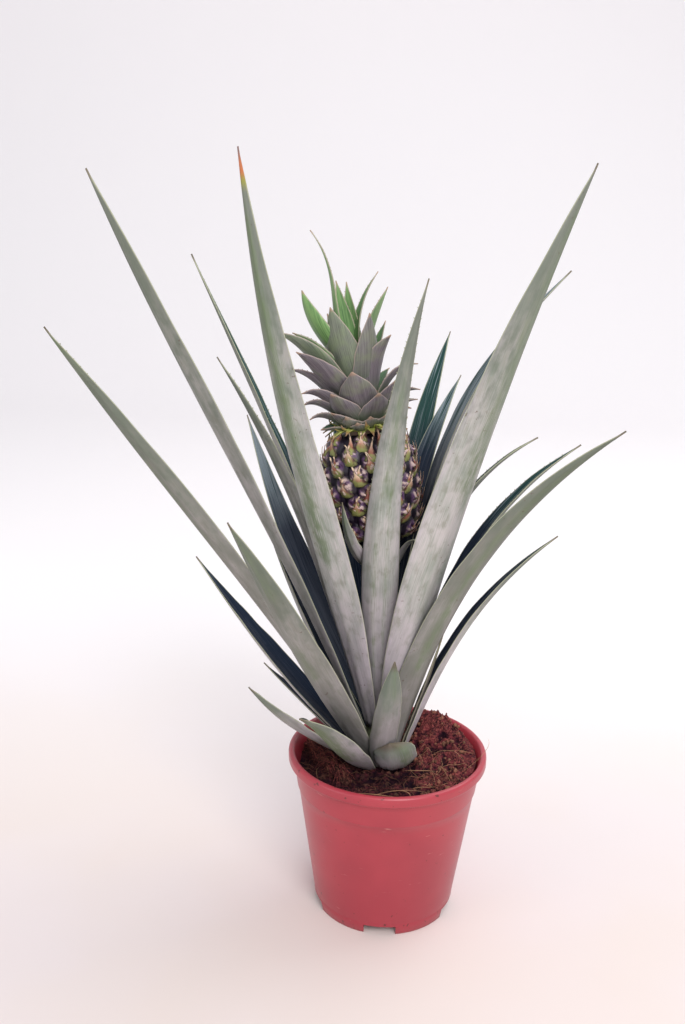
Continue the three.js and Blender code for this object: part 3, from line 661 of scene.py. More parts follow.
goldenAngle = 137.508  # degrees from each leaf or eye to the next
crownForm = {"midrib": 1.1, "margin": 0.3, "tipWidth": 0.4, "across": 11, "spacing": 2.2, "foldDepth": 0.1}
crownSize = {
    "base": (-17.6, 4, 297.4), "lean": 12, "height": 52, "rootRadius": 12, "topRadius": 2.5,
    "straight": 12, "shoulder": (0.7, 32), "segments": 24,  # shoulder: share of the radius, and height
}
crownRows = [
    # heart
    dict(tip=(190, 10, 113), leans=(14, 28), width=12, root=(38, 1), taper=0.9, young=0.7),
    dict(tip=(198, 21, 83), leans=(22, -4), width=25, root=(32, 0.9), twist=18, taper=2.4, young=1.0),
    dict(tip=(110, 5, 84), leans=(8, 2), width=12, root=(40, 1), young=0.8),
    dict(tip=(70, 10, 82), leans=(10, 6), width=12, root=(38, 1), young=0.8),
    dict(tip=(354, 26, 76), leans=(8, 34), width=14, root=(28, 1), twist=-35, young=0.7),
    dict(tip=(30, 25, 84), leans=(-4, 50), width=10, root=(36, 1), taper=1, young=0.6),
    # middle
    dict(tip=(200, 31, 62), leans=(35, 52), width=16, root=(26, 1), twist=30, young=0.6),
    dict(tip=(208, 42, 65), leans=(36, 60), width=21, root=(19, 1), twist=30, young=0.3),
    dict(tip=(222, 37, 53), leans=(38, 50), width=22, root=(15, 1), twist=25),
    dict(tip=(198, 37, 43), leans=(44, 70), width=14, root=(12, 1), twist=35),
    dict(tip=(248, 16, 72), leans=(18, 2), width=24, root=(20, 1), taper=2, young=0.25),
    dict(tip=(318, 19, 65), leans=(16, 8), width=22, root=(18, 1), taper=2, young=0.1),
    dict(tip=(338, 25, 51), leans=(10, 50), width=23, root=(12, 1), twist=-25, taper=1.9),
    dict(tip=(355, 35, 32), leans=(40, 100), width=12, root=(13, 1), twist=-30),
    # foot
    dict(tip=(269, 23, 37), leans=(26, 6), width=24, root=(5, 1), taper=2.6),
    dict(tip=(299, 24, 23), leans=(30, 16), width=20, root=(2, 1), taper=2.2),
    dict(tip=(330, 25, 27), leans=(26, 34), width=20, root=(4, 1), taper=2.2),
    dict(tip=(236, 25, 27), leans=(36, 26), width=22, root=(3, 1), taper=2.2),
    dict(tip=(224, 23, 16), leans=(44, 40), width=17, root=(1, 1), taper=1.9),
    dict(tip=(206, 34, 29), leans=(44, 90), width=17, root=(8, 1), twist=35),
    dict(tip=(192, 33, 21), leans=(50, 106), width=15, root=(5, 1), twist=35),
    dict(tip=(198, 31, 13), leans=(58, 112), width=13, root=(3, 1), twist=35),
    dict(tip=(352, 34, 18), leans=(54, 108), width=12, root=(7, 1), twist=-35),
    dict(tip=(345, 28, 9), leans=(58, 108), width=12, root=(3, 1), twist=-35),
    dict(tip=(0, 24, 3), leans=(76, 104), width=10, root=(1.5, 1), twist=-30),
    dict(tip=(246, 21, 13), leans=(44, 8), width=15, root=(1, 1), taper=1.7),
    dict(tip=(262, 21, 9), leans=(52, 8), width=14, root=(1, 1), taper=1.7),
    dict(tip=(283, 21, 11), leans=(46, 8), width=15, root=(1, 1), taper=1.7),
    dict(tip=(310, 21, 10), leans=(50, 10), width=16, root=(1, 1), taper=1.7),
    dict(tip=(198, 26, 6), leans=(62, 80), width=15, root=(1, 1), taper=2.2),
]
crownBack = {"count": 7, "from": 20, "span": 140}  # leaves out of the photo's sight, by a rule
crownCollar = {  # thin bracts between crown and fruit: of those that droop, and of those that stand
    "count": 34, "width": 4.5, "drooping": 0.6,
    "droop": {"reach": (20, 28), "height": (-3, 5), "leans": (50, 120)},
    "stand": {"reach": (16, 20), "height": (7, 12), "leans": (50, -10)},
}
crownTeeth = {"narrowest": 8, "widest": 20, "spines": (0.3, 0.92, 2.6, 0.55)}


def leaned(points, place):
    # Turned to the left about the base by the lean, and moved to the base.
    lean = np.radians(place["lean"])
    x, y, z = points.T
    turned = [x * np.cos(lean) - z * np.sin(lean), y, x * np.sin(lean) + z * np.cos(lean)]
    return np.stack(turned, axis=1) + np.array(place["base"], float)


def lathe(profile, segments):
    # A profile of radius and height carried round the upright axis, closed at both ends.
    radius, z = np.array(profile, float).T[..., None]
    points = aroundAxis(radius, allRound(segments), z)
    return facingOut(shapeOf(points, tubeFaces(len(profile), segments)))


def backRows():
    # Leaves that climb and stand up as they go round, a golden share of the span apart.
    rows = []
    for k in range(crownBack["count"]):
        t = k / (crownBack["count"] - 1)
        azimuth = crownBack["from"] + (k * 0.618 % 1) * crownBack["span"]
        tip, leans = (azimuth, 33 - 10 * t, 10 + 56 * t), (62 - 34 * t, 100 - 84 * t)
        rows.append(dict(tip=tip, leans=leans, width=14, root=(3 + 28 * t, 1), young=0.5 * t))
    return rows


def collarRows():
    # Narrow bracts a golden angle apart, at random drooping or standing.
    rng = np.random.default_rng(41)
    rows = []
    for k in range(crownCollar["count"]):
        kind = crownCollar["droop" if rng.uniform() < crownCollar["drooping"] else "stand"]
        tip = (k * goldenAngle % 360, rng.uniform(*kind["reach"]), rng.uniform(*kind["height"]))
        width = crownCollar["width"] * rng.uniform(0.8, 1.4)
        shape = dict(width=width, root=(1, 1), taper=1.2, twist=rng.uniform(-40, 40), collar=1.0)
        rows.append(dict(tip=tip, leans=kind["leans"], **shape))
    return rows


def addCrown():
    # Blades on a core that narrows upwards, with fine teeth on those of middling width.
    size = crownSize
    top, foot = size["topRadius"], size["rootRadius"]
    share, shoulder = size["shoulder"]
    profile = [(foot, 0), (foot, size["straight"]), (foot * share, shoulder), (top, size["height"])]
    shapes = [lathe(profile, size["segments"])]
    for k, row in enumerate(crownRows + backRows() + collarRows()):
        core = foot + (top - foot) * row["root"][0] / size["height"]
        blade = bladeFrom(row, core * 0.8, crownForm, 200.0 + k * 2.3)
        shapes.append(bladeShape(blade))
        if crownTeeth["narrowest"] < row["width"] < crownTeeth["widest"]:
            shapes.append(spinesOf(blade, *crownTeeth["spines"]))
    crown = joined(shapes)
    crown["points"] = leaned(crown["points"], size)
    addPiece("crownLeaves", crown, crownSkin, ["crown"])


addCrown()
print("crown made")


# The fruit

fruitSize = {
    "base": (-10, 4, 233), "lean": 7, "height": 64, "coreRadius": 25.4, "squareness": 2.6,
    "eyes": 68, "shoulderEyes": 4, "eyeRadius": 6.8, "eyeHeight": 3.2, "rings": 9, "sectors": 24,
    "endGap": 4.5, "sunk": 0.6,  # from each end to the first eyes; how deep the eyes' edges lie
}
fruitScales = [  # up each eye in shares of its size; the last kind stands on the 16 topmost eyes
    {"rise": -0.92, "reach": 1.75, "lift": 3.4, "width": 0.62, "seed": 11, "from": 0},
    {"rise": -0.1, "reach": 1.0, "lift": 2.2, "width": 0.26, "seed": 12, "from": 0},
    {"rise": 0.0, "reach": 2.1, "lift": 1.2, "width": 0.5, "seed": 13, "from": -16},
]
fruitLook = {
    # The first colour is painted shade in the grooves; pale is painted highlight; burnt is both burnt edges
    # and painted shade in the creases.
    "grooveShade": "#150a1c", "violet": "#593b62", "pale": "#e6cbc0", "green": "#8e9a52", "bractRoot": "#969a5c",
    "bract": "#a75f50", "bractTip": "#f2d6b6", "burntAndShade": "#331829",
}


def barrelRadius(z):
    # A barrel with squared shoulders: radius and height on a superellipse.
    half, power = fruitSize["height"] / 2, fruitSize["squareness"]
    t = np.clip(np.abs(z - half) / (half + 4), 0, 1)
    return fruitSize["coreRadius"] * (1 - t ** power) ** (1 / power)


def eyeFrames():
    # Places on a golden-angle spiral, each with its ways across, up and out, and its size.
    k = np.arange(fruitSize["eyes"] + fruitSize["shoulderEyes"])
    rng = np.random.default_rng(9)
    angle = np.radians(k * goldenAngle + rng.uniform(-3, 3, len(k)))
    place = k + 0.5 + rng.uniform(-0.7, 0.7, len(k))
    z = fruitSize["endGap"] + (fruitSize["height"] - 2 * fruitSize["endGap"]) * place / fruitSize["eyes"]
    radius, slope = barrelRadius(z), barrelRadius(z + 0.5) - barrelRadius(z - 0.5)
    out = unit(aroundAxis(1, angle, -slope))
    across = np.stack([-np.sin(angle), np.cos(angle), 0 * angle], axis=1)
    size = fruitSize["eyeRadius"] * (0.55 + 0.45 * radius / fruitSize["coreRadius"])
    return aroundAxis(radius, angle, z), across, np.cross(out, across), out, size


def onEyes(frames, x, y, h):
    # Points given in an eye's own directions, for every eye at once; x and y in shares of its size.
    centre, across, up, out, size = (a.reshape(len(a), *([1] * x.ndim), -1) for a in frames)
    x, y, h = x[None, ..., None], y[None, ..., None], h[None, ..., None]
    return centre + across * x * size + up * y * size + out * h


def domeHeight(x, y):
    # A flattened dome that falls away steeply at the eye's six-sided edge.
    angle = np.arctan2(y, x)
    edge = np.hypot(x, y) * (1 - 0.06 * np.cos(6 * angle + np.pi))
    return fruitSize["eyeHeight"] * (1 - np.clip(edge, 0, 1.1) ** 2.4) - fruitSize["sunk"]


def eyesShape(frames):
    # Rings round each eye's middle, raised into its dome, with four crumpled folds at the middle:
    # cos(4 phi + a random turn), strongest at 0.3 of the eye's radius.
    rings, sectors = fruitSize["rings"], fruitSize["sectors"]
    rho = np.linspace(0.06, 1.04, rings)[:, None]
    phi = allRound(sectors)[None, :]
    outline = 1 + 0.05 * np.cos(6 * phi)
    x, y = rho * outline * np.sin(phi), rho * outline * np.cos(phi) * 1.05
    points = onEyes(frames, x, y, domeHeight(x, y))
    lift = np.clip(1.15 - rho, 0, 1)[None, ..., None] * frames[3][:, None, None]
    p, q = points[..., 0] + points[..., 2], points[..., 1] - points[..., 2]
    eyes, per = len(points), rings * sectors
    rng = np.random.default_rng(5)
    tone = np.repeat(rng.uniform(0, 1, eyes), per)
    turn = rng.uniform(0, 2 * np.pi, eyes)[:, None, None] + 1.6 * wanderField(p, q, 53, 2.0)
    folds = np.cos(4 * phi + turn) * np.exp(-((rho - 0.3) / 0.3) ** 2)
    crease = 0.5 * wanderField(p, q, 51, 2.3) + 0.4 * wanderField(p, q, 52, 1.1) + 0.75 * folds
    points = points + lift * 1.3 * crease[..., None]
    middles = repeated(np.arange(sectors)[None, ::-1], eyes, per)
    faces = {4: repeated(gridFaces(rings, sectors, True), eyes, per), sectors: middles}
    rho, high = (np.tile((value + 0 * phi).ravel(), eyes) for value in (rho, y))
    return shapeOf(points, faces, rho=rho, high=high, tone=tone, ridge=crease)


def scalesShape(frames, kind):
    # A pointed papery scale on each eye: its root below the middle, its tip free and curled out.
    rows, columns = 9, 7
    b, a = np.linspace(0, 1, rows)[:, None], np.linspace(-1, 1, columns)[None, :]
    rng = np.random.default_rng(kind["seed"])
    t = np.clip((b - 0.1) / 0.6, 0, 1)
    breadth = kind["width"] * (1 - t * t * (3 - 2 * t)) + 0.13 * (1 - b ** 3)
    x = a * np.maximum(breadth, 0.015)
    y = kind["rise"] + b * kind["reach"] + 0 * a
    h = np.maximum(domeHeight(x, y), -0.4) + 0.3 + kind["lift"] * b ** 2.4 - 0.5 * a ** 2 * (1 - b)
    x = x + 0.09 * rng.uniform(-1, 1, (rows, columns)) * b
    front, back = (onEyes(frames, x, y, h + side) for side in (0.12, -0.12))
    eyes, per = len(front), rows * columns * 2
    tilt = rng.uniform(-0.45, 0.45, eyes)[:, None, None, None]
    bend = frames[1][:, None, None] * tilt * frames[4][:, None, None, None] * (b ** 2)[None, ..., None]
    ring = np.concatenate([front + bend, (back + bend)[:, :, ::-1]], axis=2)
    climb, edge = np.broadcast_arrays(b, np.abs(np.concatenate([a, a[:, ::-1]], axis=1)))
    climb, edge = np.tile(climb.ravel(), eyes), np.tile(edge.ravel(), eyes)
    tone = np.repeat(rng.uniform(0, 1, eyes), per)
    faces = {4: repeated(sleeveFaces(rows, columns), eyes, per)}
    return facingOut(shapeOf(ring, faces, scale=1.0, climb=climb, rho=edge, tone=tone))


def fruitMaterial():
    # Eyes green below and violet above, with painted highlights in pale spots and on the ridges of
    # their folds, and painted shade in the creases; scales green at the root, then tan and pink, with
    # burnt edges; painted shade, nearly black, in the grooves between the eyes.
    rind = paintedMaterial("fruitRind", fruitLook, {"Roughness": 0.4, "Specular IOR Level": 0.5})
    rho, high, tone, climb = (rind.layer(name) for name in ("rho", "high", "tone", "climb"))
    spots, fine = rind.grain(3.2, 5.0, 0.6) - 0.5, rind.grain(1.1, 4.0, 0.6)
    ridge = rind.layer("ridge") + spots * 0.5
    eye = rind.coated(
        "violet",
        ((high + spots).step(-0.05, -0.55), "green"),
        # Painted highlights in pale spots on the domes.
        ((spots * 2.2 + tone * 0.35).step(0.2, 0.55) * 0.75, "pale"),
        # Painted highlight, pale on the ridges of the folds.
        (ridge.step(0.1, 0.6) * 0.75, "pale"),
        # Painted shade in the valleys of the creases, in the burnt colour.
        (ridge.step(-0.05, -0.5) * 0.85, "burntAndShade"),
        (fine.step(0.58, 0.7) * 0.5, "burntAndShade"),
        # Painted shade, nearly black, in the grooves between the eyes.
        ((rho + spots * 0.4).step(0.6, 0.86), "grooveShade"),
    )
    scale = rind.coated(
        "bractRoot",
        ((climb + spots).step(0.15, 0.5), "bract"),
        ((climb + tone * 0.4).step(0.55, 1.1), "bractTip"),
        ((rho + spots * 1.2).step(0.45, 0.9) * 0.85, "burntAndShade"),
    )
    return rind.finished(rind.coated(eye, (rind.layer("scale"), scale)), fine + spots, 0.4, 0.5)


def addFruit():
    # A core, the eyes' domes, and the scales on them.
    frames = eyeFrames()
    z = np.linspace(0.6, fruitSize["height"] - 0.3, 40)
    core = lathe(np.stack([barrelRadius(z), z], axis=1), 72)
    # The core lies deep in the grooves and takes their painted shade.
    core["layers"] = {"rho": 1.2, "tone": 0.5}
    shapes = [core, eyesShape(frames)]
    for kind in fruitScales:
        shapes.append(scalesShape([values[kind["from"]:] for values in frames], kind))
    fruit = joined(shapes)
    fruit["points"] = leaned(fruit["points"], fruitSize)
    addPiece("fruitBody", fruit, fruitMaterial(), ["fruit"])


addFruit()
print("fruit made")


# The stem

stemSize = {"rings": 120, "around": 32, "scarDepth": 0.03, "scarTurn": 1.1}  # the turn in radians a mm
stemLook = {"green": "#7f8a66", "brown": "#8d7f72"}


def stemMaterial():
    # Green and brown in patches.
    bark = paintedMaterial("stemSkin", stemLook, {"Roughness": 0.6})
    patches = bark.grain(5.0, 5.0, 0.6)
    return bark.finished(bark.coated("green", (patches.step(0.4, 0.65), "brown")), patches, 0.4, 0.8)


def addStem():
    # Round sections along the stem's middle, with a low ridge at each leaf scar.
    rings, around = stemSize["rings"], stemSize["around"]
    z = np.linspace(stemRows[0][0], stemRows[-1][0], rings)[:, None]
    radius, x, y = stemAt(z)
    deep = stemSize["scarDepth"]
    radius = radius * (1 - deep + deep * np.sin(z * stemSize["scarTurn"]))
    points = aroundAxis(radius, allRound(around), z) + np.stack([x, y, 0 * z], axis=-1) + plantAxis
    shape = facingOut(shapeOf(points, tubeFaces(rings, around)))
    addPiece("stemStalk", shape, stemMaterial(), ["stem"])


addStem()
print("stem made")


# The pot

potSize = {
    "height": 102, "baseRadius": 42, "taper": 0.148, "wall": 1.8, "lipRadius": 60, "lipHeight": 6.5,
    "stepBelowRim": 22, "stepDepth": 0.6, "footHeight": 6.5, "footWidth": 3, "segments": 240,
}
notches = {"count": 5, "first": 268.5, "width": 19, "depth": 16, "height": 5.8}
drains = {"radius": 3.5, "fromAxis": 30, "from": 2, "to": 12, "segments": 32}
potLook = {"body": "#a93743", "bodyDark": "#9b303d", "scuff": "#e0a39a", "dust": "#4a221f"}


def potOutside(z):
    # The wall leans out evenly, and stands out a little more above the step.
    stepped = z > potSize["height"] - potSize["stepBelowRim"]
    return potSize["baseRadius"] + potSize["taper"] * z + potSize["stepDepth"] * stepped


def potInside(z):
    # The inner side of the wall, which has no step.
    return potSize["baseRadius"] + potSize["taper"] * z - potSize["wall"]


def arcProfile(centre, radius, start, end, count):
    # A rounded corner of the profile, as an arc between two angles in degrees.
    angle = np.radians(np.linspace(start, end, count))
    return [(centre[0] + radius * np.cos(a), centre[1] + radius * np.sin(a)) for a in angle]


def potProfile():
    # From the middle of the floor's underside, down the foot, up the outside, over the rolled lip,
    # and down the inside to the middle of the floor. The small steps round the edges off.
    base, lip, top = potSize["baseRadius"], potSize["lipRadius"], potSize["height"]
    floor, foot, middle = potSize["footHeight"], base - potSize["footWidth"], 0.01
    stepZ, lipZ, upper = top - potSize["stepBelowRim"], top - potSize["lipHeight"], floor + potSize["wall"]
    profile = [(middle, floor), (foot - 1, floor), (foot, floor - 0.6), (foot, 0.3), (foot + 0.3, 0)]
    profile += [(base - 0.4, 0), (base, 0.4), (potOutside(floor) + 0.15, floor)]
    profile += [(potOutside(floor + 0.8) - 0.1, floor + 0.7)]
    profile += [(potOutside(z), z) for z in np.linspace(floor + 1.5, stepZ - 0.6, 14)]
    profile += [(potOutside(z), z) for z in (stepZ + 0.1, stepZ + 0.6)]
    profile += [(potOutside(z), z) for z in np.linspace(stepZ + 2, lipZ - 1.2, 5)]
    profile += [(potOutside(lipZ) + 0.3, lipZ - 0.3)]
    profile += arcProfile((lip - 1.2, lipZ + 1.2), 1.2, -80, 0, 5)
    profile += arcProfile((lip - 2.0, top - 2.0), 2.0, 0, 110, 9)
    profile += [(lip - 3.6, top - 0.9), (potInside(lipZ) + 0.6, lipZ + 1)]
    profile += [(potInside(z), z) for z in np.linspace(lipZ - 1, upper + 1, 8)]
    return profile + [(potInside(floor) - 1.2, upper), (middle, upper)]


def potMaterial():
    # Moulded plastic, a little uneven in colour, with scuffs and specks of soil.
    shine = {"Roughness": 0.36, "Specular IOR Level": 0.5, "Coat Weight": 0.12, "Coat Roughness": 0.25}
    plastic = paintedMaterial("potPlastic", potLook, shine)
    flat = plastic.add("ShaderNodeMapping", {"Vector": plastic.place(), "Scale": (90.0, 90.0, 700.0)})
    scuffs = plastic.noise(flat, 1.0, 4.0).step(0.65, 0.73) * plastic.grain(14.0).step(0.5, 0.65)
    height = plastic.placeOn("Z")
    ends = height.step(0.012, 0.0) + height.step(0.094, 0.1)
    specks = plastic.grain(3.0, 3.0) + ends * 0.06
    skin = plastic.coated(
        "body",
        (plastic.grain(60.0, 3.0).step(0.35, 0.65), "bodyDark"),
        (scuffs * 0.35, "scuff"),
        (specks.step(0.7, 0.74) * 0.8, "dust"),
    )
    return plastic.finished(skin, plastic.grain(1.2, 3.0), 0.05, 0.2)


def cutterBox(depth, width, height):
    # A box round the origin that reaches as far below it as above.
    x, y, z = depth / 2, width / 2, height
    points = [(a * x, b * y, c * z) for a in (-1, 1) for b in (-1, 1) for c in (-1, 1)]
    faces = [(0, 1, 3, 2), (4, 6, 7, 5), (0, 4, 5, 1), (2, 3, 7, 6), (0, 2, 6, 4), (1, 5, 7, 3)]
    return facingOut(shapeOf(points, {4: np.array(faces)}))


def potCutters():
    # A notch's box in the foot and a drain's round bar in the floor, at evenly spaced azimuths.
    shapes = []
    for k in range(notches["count"]):
        angle = np.radians(notches["first"] + k * 360 / notches["count"])
        c, s = np.cos(angle), np.sin(angle)
        notch = cutterBox(notches["depth"], notches["width"], notches["height"])
        drain = lathe([(drains["radius"], z) for z in (drains["from"], drains["to"])], drains["segments"])
        for shape, out in ((notch, potSize["baseRadius"]), (drain, drains["fromAxis"])):
            shape["points"] = (shape["points"] + (out, 0, 0)) @ np.array([[c, s, 0], [-s, c, 0], [0, 0, 1]])
            shapes.append(shape)
    return joined(shapes)


def addPot():
    # The lathed body, with the foot's notches and the floor's drain holes cut out of it.
    pot = addPiece("potBody", lathe(potProfile(), potSize["segments"]), potMaterial(), ["pot"])
    cutters = potCutters()
    mesh = meshOf("potCutter", cutters["points"] * millimetre + potAxis, cutters["faces"])
    mesh.shade_flat()
    cutter = addObject("potCutter", mesh)
    cut = pot.modifiers.new("cut", "BOOLEAN")
    cut.operation, cut.object, cut.solver = "DIFFERENCE", cutter, "EXACT"
    graph = bpy.context.evaluated_depsgraph_get()
    whole, pot.data = pot.data, bpy.data.meshes.new_from_object(pot.evaluated_get(graph))
    pot.modifiers.clear()
    bpy.data.objects.remove(cutter)
    for unused in (mesh, whole):
        bpy.data.meshes.remove(unused)


# The soil

soilSize = {
    "level": 90.5, "floor": 8.6, "rings": 90, "around": 260, "lump": 2.6, "crumb": 1.0, "clear": 0.4,
    "rise": 7, "riseWidth": 46, "heap": (27, 33), "heapHeight": 14, "heapSpread": 760, "rimLevel": 96,
    "roughHeap": 1.1, "roughSpread": 800, "wallLevel": 98, "wallShare": 0.14,
}
crumbs = {"count": 900, "smallest": 0.5, "largest": 1.9, "reach": 53, "nearWall": 48, "highest": 99}
fibres = {
    "count": 560, "radius": 0.17, "shortest": 6, "longest": 28, "reach": 50, "farthest": 52.5,
    "arch": (0.2, 2.2), "curl": 0.05, "raised": 0.6, "steps": 9, "strayWidth": 1.7, "hairWidth": 0.8,
}
tongue = {  # fibres that lie side by side, low at the left
    "share": 0.5, "start": (-50, 16), "run": (24, -38), "spread": 2.2, "heading": -56, "turn": 0.25,
    "arch": (0.5, 7.0), "raised": (0.0, 0.7), "thicker": 1.7,
}
strays = [  # through three points, with heights above the low soil; the last goes over the rim
    [(-24, -38, 91.5), (-6, -44, 95), (8, -42, 92)], [(-12, -46, 92), (4, -38, 94), (22, -40, 92.5)],
    [(0, -47, 92), (8, -44, 93.5), (17, -47, 92)], [(2, -34, 92), (12, -40, 94), (14, -47, 92)],
    [(10, -14, 93), (20, -20, 95), (29, -20, 93)], [(44, -20, 98), (58, -12, 108), (60, -2, 112)],
]
# Dark is both the soil's own dark and painted shade in the hollows; light is painted light on the lumps; the
# last colour is painted shade low down.
soilLook = {"dark": "#200c18", "mid": "#6a2c34", "light": "#b96a5c", "straw": "#cfa37c", "lowShade": "#1c0b19"}


def onHeap(x, y, spread):
    # 1 at the heap's top, falling away evenly all round it.
    centre = soilSize["heap"]
    return np.exp(-((x - centre[0]) ** 2 + (y - centre[1]) ** 2) / spread)


def soilHeight(x, y):
    # Low at the left and front, rising to the right, and heaped above the rim at the right and back.
    t = np.clip(x / soilSize["riseWidth"], 0, 1)
    rise = soilSize["rise"] * t * t * (3 - 2 * t)
    return soilSize["level"] + rise + soilSize["heapHeight"] * onHeap(x, y, soilSize["heapSpread"])


def roughSoil(x, y):
    # Lumps of three sizes, roughest on the heap.
    rough = wanderField(x, y, 21, 7) * 1.5 + wanderField(x, y, 22, 3.1) * soilSize["lump"] * 0.6
    rough = rough + wanderField(x, y, 23, 1.3) * soilSize["crumb"] * 0.8
    return (1 + soilSize["roughHeap"] * onHeap(x, y, soilSize["roughSpread"])) * rough


def soilMaterial(name, bright):
    # Painted shade, dark in the hollows, and painted light, red-brown on the lumps, as much as bright
    # says; pale straw; and painted shade where it lies low, under the rim and the leaves.
    coir = paintedMaterial(name, soilLook, {"Roughness": 0.95, "Specular IOR Level": 0.15})
    lumps, fine = coir.grain(4.0, 6.0, 0.65), coir.grain(1.0, 5.0, 0.7)
    raised = coir.layer("raised") + (lumps - 0.5)
    height = coir.placeOn("Z") + lumps * (4 * millimetre)
    skin = coir.coated(
        "dark",
        (lumps.step(0.38, 0.62), "mid"),
        # Painted light on the tops of the lumps, as much as bright says.
        (fine.step(0.42, 0.68) * raised.step(-0.35, 0.5) * bright, "light"),
        # Painted shade in the hollows.
        (raised.step(-0.1, -0.6) * 0.85, "dark"),
        (coir.layer("pale") * 0.8, "straw"),
        # Painted shade where the soil lies low, under the rim and the leaves.
        (height.step(98.5 * millimetre, 93 * millimetre) * 0.7, "lowShade"),
    )
    return coir.finished(skin, lumps + fine, 0.8, 1.2)


def soilShape():
    # Rings from the middle to the wall, raised by the heap and by three sizes of lumps, then down
    # the wall to the pot's floor.
    rings, around, clear = soilSize["rings"], soilSize["around"], soilSize["clear"]
    t = np.linspace(0.01, 1, rings)[:, None] ** 0.8
    angle = allRound(around)
    edge = potInside(soilSize["rimLevel"]) - clear
    x, y = edge * t * np.cos(angle), edge * t * np.sin(angle)
    rough = roughSoil(x, y)
    z = soilHeight(x, y) + rough
    near = np.clip((t - (1 - soilSize["wallShare"])) / soilSize["wallShare"], 0, 1)
    z = z * (1 - near) + np.minimum(z, soilSize["wallLevel"] + 0.6 * rough) * near
    top = aroundAxis(np.minimum(edge, potInside(z) - clear) * t, angle, z)
    depth = np.array([0.35, 0.7, 1.0])[:, None]
    level = z[-1] * (1 - depth) + soilSize["floor"] * depth
    wall = aroundAxis(potInside(level) - clear, angle, level)
    points = np.concatenate([top, wall])
    # How high each point lies among the lumps, which sets its painted light and shade.
    raised = np.concatenate([rough / soilSize["lump"], 0 * level])
    return facingOut(shapeOf(points, tubeFaces(len(points), around), raised=raised))


def crumbShapes(rng):
    # Lumps of twelve corners, pushed in and out at random, half sunk into the surface.
    golden = (1 + 5 ** 0.5) / 2
    corners = np.array([
        (0, 1, golden), (0, -1, golden), (0, 1, -golden), (0, -1, -golden),
        (1, golden, 0), (-1, golden, 0), (1, -golden, 0), (-1, -golden, 0),
        (golden, 0, 1), (-golden, 0, 1), (golden, 0, -1), (-golden, 0, -1),
    ]) / 1.9
    triangles = np.array([
        (0, 1, 8), (0, 9, 1), (0, 8, 4), (0, 5, 9), (0, 4, 5), (1, 7, 6), (1, 6, 8), (1, 9, 7),
        (2, 10, 3), (2, 3, 11), (2, 4, 10), (2, 11, 5), (2, 5, 4), (3, 6, 7), (3, 10, 6),
        (3, 7, 11), (8, 6, 10), (4, 8, 10), (9, 11, 7), (5, 11, 9),
    ])
    count = crumbs["count"]
    radius = crumbs["reach"] * np.sqrt(rng.uniform(0, 1, count))
    angle = rng.uniform(0, 2 * np.pi, count)
    x, y = radius * np.cos(angle), radius * np.sin(angle)
    size = crumbs["smallest"] + (crumbs["largest"] - crumbs["smallest"]) * rng.uniform(0, 1, count) ** 2.5
    z = soilHeight(x, y) + roughSoil(x, y)
    z = np.where(radius > crumbs["nearWall"], np.minimum(z, crumbs["highest"]), z)
    bumps = rng.uniform(0.6, 1.3, (count, 12, 1))
    points = np.stack([x, y, z], axis=1)[:, None] + corners * bumps * size[:, None, None]
    pale = np.repeat(rng.uniform(0, 0.35, count), 12)
    # Crumbs take a middling share of the painted light.
    return shapeOf(points, {3: repeated(triangles, count, 12)}, pale=pale, raised=0.4)


def strand(points, radius):
    # Three-sided tubes carried along many paths at once: points is paths by steps by three.
    paths, steps = points.shape[:2]
    along = unit(np.gradient(points, axis=1))
    side = unit(np.cross(along, [0.13, 0.21, 0.97]))
    up = np.cross(side, along)
    taper = np.sin(np.linspace(0.15, np.pi - 0.15, steps))[None, :, None] * radius[:, None, None]
    ring = [points + (side * np.cos(a) + up * np.sin(a)) * taper for a in (0, 2.094, 4.189)]
    last = steps * 3 - 1
    caps = np.array([[2, 1, 0], [last - 2, last - 1, last]])
    faces = {4: repeated(gridFaces(steps, 3, True), paths, steps * 3), 3: repeated(caps, paths, steps * 3)}
    return facingOut(shapeOf(np.stack(ring, axis=2), faces))


